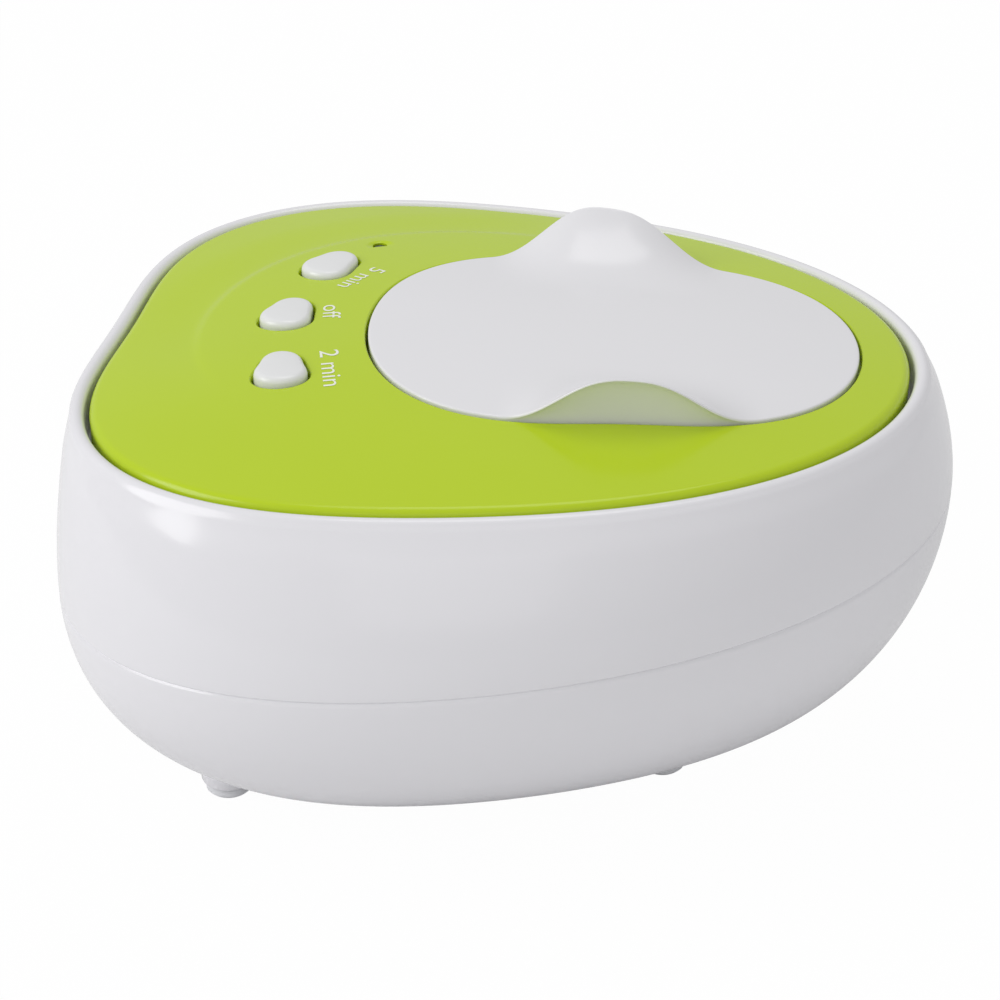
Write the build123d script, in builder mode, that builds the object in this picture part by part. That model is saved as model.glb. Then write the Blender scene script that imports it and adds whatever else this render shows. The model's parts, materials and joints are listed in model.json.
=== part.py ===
"""Ultrasonic cleaner for contact lenses.

A pebble-shaped housing in two halves carries a domed control panel.  A lid with two flared
finger lips covers a steel tank, in which a lens tray stands.  A piezo disc under the tank is
driven by the main board, and three buttons on the panel work the switch board.
Millimetres.  +Z is up, Z = 0 is the surface it stands on, and +X points at the narrow nose.
"""
from math import atan2, cos, degrees, hypot, pi, radians, sin, sqrt, tan
import os

from build123d import *

os.makedirs("parts", exist_ok=True)

# ------------------------------------------------------------------ driving dimensions
# Outlines in plan: mean radius, then the waves once, twice, ... round the outline
rim_mean = 64.0            # outer edge of the control panel
rim_waves = (3.8, 3.2, 4.6, -1.5, 0.6)
belly_swell = 10.1         # the housing's widest line stands this far outside the panel's edge
belly_waves = (1.4, -3.4, 0.6)
lid_mean = 37.2
lid_waves = (0.0, 4.7, 0.7, -1.2)
lid_offset = 25.0          # lid's centre ahead of the plan centre
lid_turn = 5.0             # degrees, the lid's long axis from the housing's
outline_points = 24

# Housing
rim_height = 70.0
parting_height = 45.5      # joint between the housings, below the plan centre
parting_slope = 3.3        # degrees, the joint rises towards the nose
base_height = 3.0
bead_round = 1.1
base_narrowing_x = 0.57
base_narrowing_y = 0.70
shoulder_power = 1.8
housing_wall = 2.6
ledge_drop = 7.0           # panel's seat below the rim
ledge_width = 7.0
ledge_thickness = 2.0

# Panel
panel_gap = 0.8            # between the panel's edge and the housing's bead
panel_wall = 2.2
dome_rise = 4.0
panel_edge_round = 1.0

# Lid
lid_gap = 0.35
lid_proud = 0.6            # lid's top stands above the dome
lid_wall = 2.2
lid_seat_drop = 2.0        # lid's seat below the rim
lid_seat_width = 7.0
lid_side = 1.8
lid_skirt = 3.0            # rim under the lid that drops into the tank
lid_skirt_wall = 1.6
lip_rise = 8.8
lip_flare = 3.2            # how far a lip reaches out past the lid's edge
lip_half_width = 22.0      # along X, from the crest to where the lip ends
lip_run = 20.0             # along Y, from where the lip starts to rise to its crest
lip_edge = 1.4

# Tank
tank_depth = 25.0
tank_sheet = 0.8
tank_corner = 5.0
tank_taper = 4.0           # degrees
tank_flange = 4.5
gasket_thickness = 1.0
clamp_thickness = 3.0
clamp_width = 4.0

# Lens tray
tray_gap = 0.6
tray_plate = 1.6
tray_drop = 5.0            # plate's top below the lid's seat
well_diameter = 26.0
well_depth = 17.0
well_wall = 1.4
well_spacing = 31.0
well_hole = 1.8
well_hole_ring = 7.5
tray_leg = 4.0
tab_width = 16.0
tab_height = 6.0
tab_thickness = 2.0

# Buttons
button_radius = 5.0
button_waves = (0.0, 0.95, 0.35)
button_arc = 71.8          # radius of the arc that the buttons stand on
button_arc_offset = 42.5   # the arc's centre ahead of the plan centre
button_step = 17.2         # degrees between buttons
button_lean = 8.0          # degrees, a button's tip turned inwards from the arc
button_gap = 0.45
button_proud = 1.6
button_travel = 0.6
button_flange = 1.2
button_edge = 1.2
button_stem = 1.2
guide_wall = 1.2
guide_depth = 2.4

# Switch board
board_thickness = 1.6
switch_size = 6.0
switch_body = 3.5
plunger_diameter = 3.4
plunger_proud = 1.4
plunger_depth = 1.0        # inside the switch
led_flange = 3.8
led_spacer_diameter = 4.8
lead_diameter = 0.6
led_diameter = 3.0
led_hole = 2.4
led_step = 28.6            # degrees round the button arc from the middle button
led_inset = 1.3            # inside the button arc
led_length = 5.2
switch_board_length = 78.0
switch_board_width = 21.0
switch_board_offset = 51.0 # board's middle behind the lid's centre

# Transducer and main board
piezo_diameter = 32.0
piezo_thickness = 2.5
board_length = 86.0        # along Y
board_width = 66.0         # along X
board_corner = 20.0
board_edge = 3.0           # board's rear edge inside the housing wall
board_inset = 3.5          # screws from a board's edges
component_room = 13.0      # tallest part on the board to the piezo disc
jack_width = 9.0
jack_length = 14.0
jack_height = 11.0
jack_axis = 6.5            # above the board
jack_bore = 6.3
jack_pin = 2.0
jack_bore_depth = 10.0
inlet_pocket = 14.0
inlet_recess = 4.5
inlet_wall = 2.0
inlet_hole = 8.6

transformer_width = 20.0
transformer_depth = 14.0
transformer_height = 16.0
transformer_limb = 6.0
transformer_yoke = 2.6
winding_build = 4.2
inductor_radius = 6.8
inductor_tube = 3.0
can_diameter = 10.0
can_height = 15.0
film_length = 18.0
film_width = 8.0
film_height = 10.0
sink_width = 10.0
sink_length = 26.0
sink_height = 11.5
sink_base = 2.4
fin_count = 7
fin_thickness = 1.2
package_width = 10.0       # power transistor
package_depth = 4.4
package_height = 8.6
leg_spacing = 2.54
leg_width = 0.9
leg_thickness = 0.5
chip_length = 9.4
chip_width = 6.4
chip_height = 3.3
socket_length = 9.0
socket_width = 6.0
socket_height = 5.0
harness_diameter = 3.0
lead_cover = 1.4

# Fasteners and feet
screw_diameter = 3.0
screw_head = 5.6
screw_head_height = 2.2
small_screw = 2.0
small_head = 3.8
small_head_height = 1.4
boss_wall = 2.0
housing_screw_angle = 30.0
housing_screw_inset = 8.5
housing_screw_length = 16.0
panel_screw_angle = 75.0
panel_screw_inset = 5.6
panel_screw_length = 8.0
clamp_screw_angle = 68.0
clamp_screw_length = 7.0
board_screw_length = 6.0
foot_diameter = 8.0
foot_height = 2.2
foot_boss = 9.4
foot_plug = 4.0
foot_plug_length = 3.0
front_foot_x = -35.6       # feet, from the plan centre
front_foot_y = 34.6
nose_foot_x = 37.3
nose_foot_y = 18.9

# Clearances
fit = 0.3                  # between pieces of different bodies
pilot = 0.15               # radial, a screw in its clearance hole


# ------------------------------------------------------------------ outlines and surfaces
def wave_radius(angle, mean, waves):
    """Radius at an angle in degrees: a mean plus cosine waves, symmetric about the X axis."""
    return mean + sum(w * cos(radians(angle) * (n + 1)) for n, w in enumerate(waves))


def rim_radius(angle):
    return wave_radius(angle, rim_mean, rim_waves)


def belly_radius(angle):
    return rim_radius(angle) + wave_radius(angle, belly_swell, belly_waves)


def lid_radius(angle):
    return wave_radius(angle - lid_turn, lid_mean, lid_waves)


around = [360 * n / outline_points for n in range(outline_points)]
reach = [belly_radius(angle) * cos(radians(angle)) for angle in range(360)]
plan_x = -(max(reach) + min(reach)) / 2      # plan centre, so that the housing is centred on X = 0
lid_x = plan_x + lid_offset


def outline(points, plane):
    """Face inside a smooth closed curve through the points."""
    with BuildSketch(plane) as sketch:
        with BuildLine():
            Spline(*points, periodic=True)
        make_face()
    return sketch.sketch


def ring(radius, grow):
    """Points round a centre, grown outwards by a distance."""
    return [((radius(a) + grow) * cos(radians(a)), (radius(a) + grow) * sin(radians(a))) for a in around]


def rim_outline(height, grow=0.0):
    return outline(ring(rim_radius, grow), Plane(origin=(plan_x, 0, height)))


def lid_plane(height):
    """Level plane at the lid's centre whose X runs along the lid."""
    along = (cos(radians(lid_turn)), sin(radians(lid_turn)), 0)
    return Plane(origin=(lid_x, 0, height), x_dir=along, z_dir=(0, 0, 1))


def lid_outline(height, grow=0.0):
    return outline(ring(lambda angle: lid_radius(angle + lid_turn), grow), lid_plane(height))


def dome_height(x, y):
    """Top of the panel: highest over the plan centre and level with the rim at its own edge."""
    share = hypot(x - plan_x, y) / rim_radius(degrees(atan2(y, x - plan_x)))
    return rim_height + dome_rise * (1 - share**2)


def lip_bell(along):
    """Share of a lip's height or reach at a place along the lid: a cosine bell about its middle."""
    return cos(pi / 2 * min(1, abs(along) / lip_half_width)) ** 2


lip_crest = lid_radius(90 + lid_turn) + lip_flare


def lid_height(x, y):
    """Top of the lid: the dome, and towards each side a lip that sweeps up like a wave."""
    along = (x - lid_x) * cos(radians(lid_turn)) + y * sin(radians(lid_turn))
    across = y * cos(radians(lid_turn)) - (x - lid_x) * sin(radians(lid_turn))
    climb = max(0.0, abs(across) - (lip_crest - lip_run)) / lip_run
    return dome_height(x, y) + lid_proud + lip_rise * lip_bell(along) * climb**2.2


def lid_place(along, across):
    """A place along and across the lid from its centre."""
    turn = radians(lid_turn)
    return (lid_x + along * cos(turn) - across * sin(turn), along * sin(turn) + across * cos(turn))


def solid_below(height, centre_x, half_length, half_width, step):
    """Solid under the surface Z = height(x, y), down to well below the rim."""
    columns = int(2 * half_length / step)
    rows = int(2 * half_width / step)
    grid = [
        [
            (x, y, height(x, y))
            for y in (half_width * (2 * row / rows - 1) for row in range(rows + 1))
        ]
        for x in (centre_x + half_length * (2 * column / columns - 1) for column in range(columns + 1))
    ]
    with BuildPart() as below:
        extrude(Face.make_surface_from_array_of_points(grid), amount=rim_height / 2, dir=(0, 0, -1))
    return below.part


def dome_solid(sink=0.0):
    """Everything under the panel's dome, or under the dome lowered by a wall's thickness."""
    span = max(rim_radius(angle) for angle in around) + panel_gap
    return solid_below(lambda x, y: dome_height(x, y) - sink, plan_x, span, span, 8)


def arc_place(angle, arc):
    """A place on an arc about the button arc's centre, counted from straight behind it."""
    return (plan_x + button_arc_offset - arc * cos(radians(angle)), arc * sin(radians(angle)))


def mirrored(angle):
    """The same angle in all four quarters."""
    return (angle, 180 - angle, 180 + angle, 360 - angle)


def places(angle, centre, radius, grow):
    """Four places at a distance outside an outline, one in each quarter."""
    return [
        (centre + (radius(a) + grow) * cos(radians(a)), (radius(a) + grow) * sin(radians(a)))
        for a in mirrored(angle)
    ]


# ------------------------------------------------------------------ levels and places
ledge_top = rim_height - ledge_drop
lid_seat = rim_height - lid_seat_drop
lid_bottom = lid_seat + fit
seat_underside = lid_seat - panel_wall
flange_top = seat_underside - gasket_thickness
flange_underside = flange_top - tank_sheet
clamp_underside = flange_underside - clamp_thickness
tank_floor = flange_top - tank_depth
tank_underside = tank_floor - tank_sheet
piezo_underside = tank_underside - piezo_thickness
board_top = piezo_underside - component_room
board_underside = board_top - board_thickness
tank_inset = lid_seat_width + 0.5

button_places = [arc_place(step * button_step, button_arc) for step in (1, 0, -1)]
button_names = ("button_five", "button_off", "button_two")
button_turns = [90 - button_lean - step * button_step for step in (1, 0, -1)]
lowest_dome = min(dome_height(*place) for place in button_places)
guide_underside = lowest_dome - panel_wall - guide_depth
flange_button_top = guide_underside - fit
button_underside = flange_button_top - button_flange
plunger_top = button_underside - button_stem
switch_top = plunger_top - plunger_proud
switch_board_top = switch_top - switch_body
switch_board_x = lid_x - switch_board_offset
led_place = arc_place(led_step, button_arc - led_inset)
led_top = dome_height(*led_place) - panel_wall - fit

parting_plane = Plane(
    origin=(plan_x, 0, parting_height),
    x_dir=(cos(radians(parting_slope)), 0, sin(radians(parting_slope))),
    z_dir=(-sin(radians(parting_slope)), 0, cos(radians(parting_slope))),
)


def housing_draw(level):
    """How far the underside has drawn in at a level below the parting: a quarter ellipse, 0 to 1."""
    return 1 - sqrt(1 - min(1, level**2))


def rear_reach(height, inset=0.0):
    """Y of the housing's rear skin, or of the form inside it, at a height below the parting."""
    level = (parting_height - height) / (parting_height - base_height - inset)
    return (belly_radius(90) - inset) * (1 - base_narrowing_y * housing_draw(level))


jack_level = board_top + jack_axis
jack_front = min(
    rear_reach(jack_level) - inlet_recess - inlet_wall,
    rear_reach(board_top, housing_wall) - fit,
)
board_rear = rear_reach(board_underside, housing_wall) - board_edge
board_y = board_rear - board_length / 2
housing_screws_at = places(housing_screw_angle, plan_x, rim_radius, -housing_screw_inset)
panel_screws_at = places(panel_screw_angle, plan_x, rim_radius, -panel_screw_inset)
clamp_reach = lid_gap + panel_wall + small_screw / 2 + boss_wall
clamp_screws_at = places(clamp_screw_angle, lid_x, lid_radius, clamp_reach)
feet_at = [
    (plan_x + x, side * y)
    for x, y in ((front_foot_x, front_foot_y), (nose_foot_x, nose_foot_y))
    for side in (-1, 1)
]


board_screws_at = [
    (plan_x + x * (board_width / 2 - board_inset), board_y + y * (board_length / 2 - board_corner - board_inset))
    for x in (-1, 1)
    for y in (-1, 1)
]
switch_screws_at = [
    (switch_board_x + x * (switch_board_width / 2 - board_inset), y * (switch_board_length / 2 - board_inset))
    for x, y in ((-1, -1), (-1, 1), (1, -1))
]
housing_head_level = parting_height - housing_screw_length / 2 + boss_wall / 2


def button_outline(place, turn, height, grow):
    """Rounded teardrop whose tip points round the arc, at a height, grown by a distance."""
    points = [
        ((wave_radius(a, button_radius, button_waves) + grow) * cos(radians(a)),
         (wave_radius(a, button_radius, button_waves) + grow) * sin(radians(a)))
        for a in around[:: 2]
    ]
    along = (cos(radians(turn)), sin(radians(turn)), 0)
    return outline(points, Plane(origin=(*place, height), x_dir=along, z_dir=(0, 0, 1)))


def save(part, label):
    part.label = label
    export_step(part, f"parts/{label}.step")


# ------------------------------------------------------------------ housing
def housing_section(level, inset):
    """Section of the housing: level 1 at the rim, 0 at the parting, -1 at the base.

    The sections tilt with the parting and level out towards the rim and the base.  Above the
    parting the wall draws in to the bead, and below it the underside follows a quarter ellipse.
    """
    if level < 0:
        height = parting_height + level * (parting_height - base_height - inset)
        draw = housing_draw(level)
    else:
        height = parting_height + level * (rim_height - parting_height)
        draw = 0
    points = []
    for angle in around:
        radius = belly_radius(angle) - inset
        if level > 0:
            bead = rim_radius(angle) + panel_gap + housing_wall
            radius -= (belly_radius(angle) - bead) * level**shoulder_power
        across = radius * sin(radians(angle)) * (1 - base_narrowing_y * draw)
        along = radius * cos(radians(angle)) * (1 - base_narrowing_x * draw)
        points.append((along, across))
    tilt = radians(parting_slope * (1 - abs(level)))
    plane = Plane(origin=(plan_x, 0, height), x_dir=(cos(tilt), 0, sin(tilt)), z_dir=(-sin(tilt), 0, cos(tilt)))
    return outline(points, plane)


section_levels = (-0.985, -0.94, -0.84, -0.68, -0.45, -0.2, 0, 0.25, 0.5, 0.75, 1)


def housing_solid(inset=0.0):
    """The housing's outer form, or the form inside it at a depth below the skin."""
    with BuildPart() as form:
        loft([housing_section(level, inset) for level in section_levels])
    return form.part


housing_form = housing_solid()
housing_room = housing_solid(housing_wall)

with BuildPart() as ledge:
    extrude(rim_outline(ledge_top, belly_swell), amount=-ledge_thickness)
    extrude(rim_outline(ledge_top, -ledge_width), amount=-ledge_thickness, mode=Mode.SUBTRACT)
    add(housing_solid(housing_wall / 2), mode=Mode.INTERSECT)

with BuildPart() as upper_housing:
    add(housing_form)
    add(housing_room, mode=Mode.SUBTRACT)
    add(ledge.part)
    with BuildSketch(Plane.XY.offset(ledge_top - ledge_thickness)):
        with Locations(*housing_screws_at):
            Circle(screw_diameter / 2 + boss_wall)
    extrude(amount=-(ledge_top - ledge_thickness - parting_height) - housing_wall * 4)
    split(bisect_by=parting_plane, keep=Keep.TOP)
    fillet(upper_housing.faces().sort_by(Axis.Z)[-1].outer_wire().edges(), radius=bead_round)
    with BuildSketch(Plane.XY.offset(ledge_top - ledge_thickness)):
        with Locations(*housing_screws_at):
            Circle(screw_diameter / 2)
    extrude(amount=-rim_height / 2, mode=Mode.SUBTRACT)
    with BuildSketch(Plane.XY.offset(ledge_top)):
        with Locations(*panel_screws_at):
            Circle(small_screw / 2 + pilot)
    extrude(amount=-ledge_thickness, mode=Mode.SUBTRACT)
save(upper_housing.part, "upper_housing")


# lower housing: foot bosses stand outside the form, so they are added after it is hollowed
with BuildPart() as lower_housing:
    add(housing_form)
    add(housing_room, mode=Mode.SUBTRACT)
    with BuildSketch(Plane.XY.offset(base_height)):
        with Locations(*housing_screws_at):
            Circle(screw_head / 2 + pilot + boss_wall)
    extrude(amount=parting_height)
    with BuildSketch(Plane.XY.offset(base_height)):
        with Locations(*board_screws_at):
            Circle(small_screw / 2 + boss_wall)
    extrude(amount=board_underside - base_height)
    with BuildSketch(Plane.XZ.offset(-jack_front)):
        with Locations((plan_x, jack_level)):
            Circle(inlet_pocket / 2 + inlet_wall)
    extrude(amount=-inlet_recess - inlet_wall)
    split(bisect_by=parting_plane, keep=Keep.BOTTOM)
    add(housing_form, mode=Mode.INTERSECT)
    with BuildSketch(Plane.XY.offset(foot_height)):
        with Locations(*feet_at):
            Circle(foot_boss / 2)
    extrude(amount=base_height + 2 * housing_wall)
    with BuildSketch(Plane.XZ.offset(-jack_front - inlet_wall)):
        with Locations((plan_x, jack_level)):
            Circle(inlet_pocket / 2)
    extrude(amount=-rim_height, mode=Mode.SUBTRACT)
    with BuildSketch(Plane.XZ.offset(-jack_front)):
        with Locations((plan_x, jack_level)):
            Circle(inlet_hole / 2)
    extrude(amount=-rim_height, mode=Mode.SUBTRACT)
    with BuildSketch(Plane.XY):
        with Locations(*housing_screws_at):
            Circle(screw_diameter / 2 + pilot)
    extrude(amount=rim_height, mode=Mode.SUBTRACT)
    with BuildSketch(Plane.XY):
        with Locations(*housing_screws_at):
            Circle(screw_head / 2 + pilot)
    extrude(amount=housing_head_level, mode=Mode.SUBTRACT)
    with BuildSketch(Plane.XY.offset(board_underside)):
        with Locations(*board_screws_at):
            Circle(small_screw / 2)
    extrude(amount=-board_screw_length, mode=Mode.SUBTRACT)
    with BuildSketch(Plane.XY.offset(foot_height)):
        with Locations(*feet_at):
            Circle(foot_plug / 2)
    extrude(amount=foot_plug_length, mode=Mode.SUBTRACT)
save(lower_housing.part, "lower_housing")

with BuildPart() as feet:
    with BuildSketch():
        with Locations(*feet_at):
            Circle(foot_diameter / 2)
    extrude(amount=foot_height)
    chamfer(feet.edges().group_by(Axis.Z)[0], length=foot_height / 4)
    with BuildSketch(Plane.XY.offset(foot_height)):
        with Locations(*feet_at):
            Circle(foot_plug / 2)
    extrude(amount=foot_plug_length)
save(feet.part, "feet")


def screws(points, seat, way, diameter, head, head_height, length):
    """Pan-head screws seated at a level, their shanks going up (way 1) or down (way -1)."""
    with BuildPart() as group:
        with BuildSketch(Plane.XY.offset(seat)):
            with Locations(*points):
                Circle(head / 2)
        extrude(amount=-way * head_height)
        outer = group.edges().group_by(Axis.Z)[0 if way > 0 else -1]
        fillet(outer, radius=head_height / 3)
        with BuildSketch(Plane.XY.offset(seat)):
            with Locations(*points):
                Circle(diameter / 2)
        extrude(amount=way * length)
        with BuildSketch(Plane.XY.offset(seat - way * head_height)):
            with Locations(*points):
                Rectangle(head * 0.6, head / 7)
                Rectangle(head / 7, head * 0.6)
        extrude(amount=way * head_height / 2, mode=Mode.SUBTRACT)
    return group.part


def small_screws(points, seat, way, length):
    return screws(points, seat, way, small_screw, small_head, small_head_height, length)


housing_screws = screws(
    housing_screws_at, housing_head_level, 1, screw_diameter, screw_head, screw_head_height, housing_screw_length
)
save(housing_screws, "housing_screws")

# ------------------------------------------------------------------ control panel
with BuildPart() as panel_room:
    extrude(rim_outline(ledge_top, -panel_wall), amount=rim_height)
    add(dome_solid(panel_wall), mode=Mode.INTERSECT)

with BuildPart() as top_panel:
    extrude(rim_outline(ledge_top), amount=ledge_drop + 2 * dome_rise)
    add(panel_room.part, mode=Mode.SUBTRACT)
    extrude(lid_outline(seat_underside, lid_gap + panel_wall), amount=rim_height / 4)
    with BuildSketch(Plane.XY.offset(flange_underside)):
        with Locations(*clamp_screws_at):
            Circle(small_screw / 2 + boss_wall)
    extrude(amount=rim_height / 4)
    with BuildSketch(Plane.XY.offset(ledge_top)):
        with Locations(*panel_screws_at):
            Circle(small_screw / 2 + boss_wall)
    extrude(amount=rim_height / 4)
    with BuildSketch(Plane.XY.offset(switch_board_top)):
        with Locations(*switch_screws_at):
            Circle(small_screw / 2 + boss_wall)
    extrude(amount=rim_height / 4)
    for place, turn in zip(button_places, button_turns):
        extrude(button_outline(place, turn, guide_underside, button_gap + guide_wall), amount=rim_height / 4)
    add(dome_solid(), mode=Mode.INTERSECT)
    top_edge = top_panel.faces().sort_by(Axis.Z)[-1].outer_wire().edges()
    fillet(top_edge, radius=panel_edge_round)
    extrude(lid_outline(lid_seat, lid_gap), amount=rim_height / 4, mode=Mode.SUBTRACT)
    extrude(lid_outline(ledge_top, -lid_seat_width), amount=rim_height / 4, mode=Mode.SUBTRACT)
    for place, turn in zip(button_places, button_turns):
        extrude(button_outline(place, turn, ledge_top, button_gap), amount=rim_height / 4, mode=Mode.SUBTRACT)
    with BuildSketch(Plane.XY.offset(flange_underside)):
        with Locations(*clamp_screws_at):
            Circle(small_screw / 2)
    extrude(amount=clamp_screw_length - clamp_thickness + pilot, mode=Mode.SUBTRACT)
    with BuildSketch(Plane.XY.offset(ledge_top)):
        with Locations(*panel_screws_at):
            Circle(small_screw / 2)
    extrude(amount=panel_screw_length - ledge_thickness + pilot, mode=Mode.SUBTRACT)
    with BuildSketch(Plane.XY.offset(switch_board_top)):
        with Locations(*switch_screws_at):
            Circle(small_screw / 2)
    extrude(amount=board_screw_length - board_thickness + pilot, mode=Mode.SUBTRACT)
    with BuildSketch(Plane.XY.offset(switch_board_top)):
        with Locations(led_place):
            Circle(led_hole / 2)
    extrude(amount=rim_height / 4, mode=Mode.SUBTRACT)
save(top_panel.part, "top_panel")
save(small_screws(panel_screws_at, ledge_top - ledge_thickness, 1, panel_screw_length), "panel_screws")

# ------------------------------------------------------------------ lid
lip_base = dome_height(lid_x, lid_radius(90))
lip_top = lid_height(*lid_place(0, lip_crest))
cove_height = lip_top - lip_edge - lip_base


def lid_section(height, share):
    """Lid's outline at a height, with each lip reaching out by a share of its flare."""
    points = []
    for angle in around:
        along = lid_radius(angle + lid_turn) * cos(radians(angle))
        across = lid_radius(angle + lid_turn) * sin(radians(angle))
        side = (across > 0) - (across < 0)
        points.append((along, across + side * share * lip_flare * lip_bell(along)))
    return outline(points, lid_plane(height))


def lid_solid(sink):
    """Everything under the lid's top, or under the top lowered by a wall's thickness."""
    half_length = lid_radius(0) + lip_flare
    half_width = lip_crest + lip_flare / 2
    return solid_below(lambda x, y: lid_height(x, y) - sink, lid_x, half_length, half_width, 4)


with BuildPart() as lid_room:
    extrude(lid_outline(lid_bottom, -lid_side), amount=rim_height / 4)
    extrude(lid_outline(lid_bottom, -lid_seat_width - fit), amount=rim_height / 4, mode=Mode.SUBTRACT)
    extrude(lid_outline(lid_seat - lid_skirt, -lid_seat_width - fit - lid_skirt_wall), amount=rim_height / 4)
    add(lid_solid(lid_wall), mode=Mode.INTERSECT)

with BuildPart() as lid:
    extrude(lid_outline(lid_bottom), amount=lip_base - lid_bottom)
    loft(
        [lid_section(lip_base + cove_height * sin(radians(a)), 1 - cos(radians(a))) for a in range(0, 91, 15)],
        ruled=True,
    )
    extrude(lid_section(lip_base + cove_height, 1), amount=2 * lip_edge)
    extrude(lid_outline(lid_seat - lid_skirt, -lid_seat_width - fit), amount=lid_skirt + fit + lid_wall)
    add(lid_solid(0), mode=Mode.INTERSECT)
    add(lid_room.part, mode=Mode.SUBTRACT)
save(lid.part, "lid")

# ------------------------------------------------------------------ tank
tank_draw = tank_depth * tan(radians(tank_taper))


def tank_solid(inset, floor, corner):
    """Tapered bowl under the lid, following the lid's outline, with a rounded bottom corner."""
    with BuildPart() as bowl:
        loft([lid_outline(floor, -tank_inset - tank_draw - inset), lid_outline(flange_top, -tank_inset - inset)])
        fillet(bowl.edges().group_by(Axis.Z)[0], radius=corner)
    return bowl.part


with BuildPart() as tank:
    add(tank_solid(0, tank_underside, tank_corner))
    extrude(lid_outline(flange_underside, -tank_inset + tank_flange), amount=tank_sheet)
    add(tank_solid(tank_sheet, tank_floor, tank_corner - tank_sheet), mode=Mode.SUBTRACT)
save(tank.part, "tank")

with BuildPart() as tank_gasket:
    extrude(lid_outline(flange_top, -tank_inset + tank_flange), amount=gasket_thickness)
    extrude(lid_outline(flange_top, -lid_seat_width), amount=gasket_thickness, mode=Mode.SUBTRACT)
save(tank_gasket.part, "tank_gasket")

ear_reach = clamp_reach + tank_inset - clamp_width / 2
with BuildPart() as tank_clamp:
    extrude(lid_outline(clamp_underside, -tank_inset + fit + clamp_width), amount=clamp_thickness)
    with BuildSketch(Plane.XY.offset(clamp_underside)):
        for place, angle in zip(clamp_screws_at, mirrored(clamp_screw_angle)):
            with Locations(Location((*place, 0), (0, 0, angle))):
                Circle(small_screw / 2 + boss_wall)
                Rectangle(ear_reach, small_screw + 2 * boss_wall, align=(Align.MAX, Align.CENTER))
    extrude(amount=clamp_thickness)
    extrude(lid_outline(clamp_underside, -tank_inset + fit), amount=clamp_thickness, mode=Mode.SUBTRACT)
    with BuildSketch(Plane.XY.offset(clamp_underside)):
        with Locations(*clamp_screws_at):
            Circle(small_screw / 2 + pilot)
    extrude(amount=clamp_thickness, mode=Mode.SUBTRACT)
save(tank_clamp.part, "tank_clamp")
save(small_screws(clamp_screws_at, clamp_underside, 1, clamp_screw_length), "clamp_screws")

# ------------------------------------------------------------------ lens tray
tray_top = lid_seat - tray_drop
tray_inset = tank_inset + tank_sheet + (flange_top - tray_top) * tan(radians(tank_taper)) + tray_gap
tray_leg_reach = well_diameter / 2 + tray_leg
tray_legs_at = [lid_place(x * well_spacing * 0.29, y * tray_leg_reach) for x in (-1, 1) for y in (-1, 1)]
wells_at = [lid_place(-well_spacing / 2, 0), lid_place(well_spacing / 2, 0)]
well_floor = tray_top - well_depth
with BuildPart() as lens_tray:
    extrude(lid_outline(tray_top, -tray_inset - tray_plate * tan(radians(tank_taper))), amount=-tray_plate)
    with BuildSketch(Plane.XY.offset(well_floor - well_wall)):
        with Locations(*wells_at):
            Circle(well_diameter / 2 + well_wall)
    extrude(amount=well_depth)
    fillet(lens_tray.edges().group_by(Axis.Z)[0], radius=2 * well_wall)
    with BuildSketch(Plane.XY.offset(well_floor)):
        with Locations(*wells_at):
            Circle(well_diameter / 2)
    extrude(amount=well_depth, mode=Mode.SUBTRACT)
    with BuildSketch(Plane.XY.offset(tank_floor + fit)):
        with Locations(*tray_legs_at):
            Circle(tray_leg / 2)
    extrude(amount=tray_top - tank_floor - fit)
    with BuildSketch(Plane.XY.offset(tray_top)):
        with Locations((lid_x, 0)):
            RectangleRounded(tab_thickness, tab_width, radius=tab_thickness / 3)
    extrude(amount=tab_height)
    with BuildSketch(Plane.XY.offset(well_floor)):
        for well in wells_at:
            with Locations(well):
                Circle(well_hole / 2)
                with PolarLocations(well_hole_ring, 6):
                    Circle(well_hole / 2)
    extrude(amount=-well_wall, mode=Mode.SUBTRACT)
save(lens_tray.part, "lens_tray")

# ------------------------------------------------------------------ buttons and switch board
for name, place, turn in zip(button_names, button_places, button_turns):
    cap_top = dome_height(*place) + button_proud
    with BuildPart() as button:
        extrude(button_outline(place, turn, flange_button_top, 0), amount=cap_top - flange_button_top)
        fillet(button.faces().sort_by(Axis.Z)[-1].edges(), radius=button_proud * 0.6)
        extrude(button_outline(place, turn, flange_button_top, button_edge), amount=-button_flange)
        with BuildSketch(Plane.XY.offset(button_underside)):
            with Locations(place):
                Circle(plunger_diameter / 2 + button_edge)
        extrude(amount=-button_stem)
    save(button.part, name)
    with BuildPart() as plunger:
        with BuildSketch(Plane.XY.offset(plunger_top)):
            with Locations(place):
                Circle(plunger_diameter / 2)
        extrude(amount=-plunger_proud - plunger_depth)
    save(plunger.part, name.replace("button", "plunger"))

with BuildPart() as tact_switches:
    with BuildSketch(Plane.XY.offset(switch_board_top)):
        with Locations(*button_places):
            RectangleRounded(switch_size, switch_size, radius=switch_size / 12)
    extrude(amount=switch_body)
    with BuildSketch(Plane.XY.offset(switch_top)):
        with Locations(*button_places):
            Circle(plunger_diameter / 2 + fit)
    extrude(amount=-plunger_depth - button_travel - fit, mode=Mode.SUBTRACT)
save(tact_switches.part, "tact_switches")

switch_board_underside = switch_board_top - board_thickness
with BuildPart() as switch_board:
    with BuildSketch(Plane.XY.offset(switch_board_underside)):
        with Locations((switch_board_x, 0)):
            RectangleRounded(switch_board_width, switch_board_length, radius=board_inset)
        with Locations(*switch_screws_at):
            Circle(small_screw / 2 + pilot, mode=Mode.SUBTRACT)
    extrude(amount=board_thickness)
save(switch_board.part, "switch_board")
save(small_screws(switch_screws_at, switch_board_underside, 1, board_screw_length), "switch_board_screws")

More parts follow.
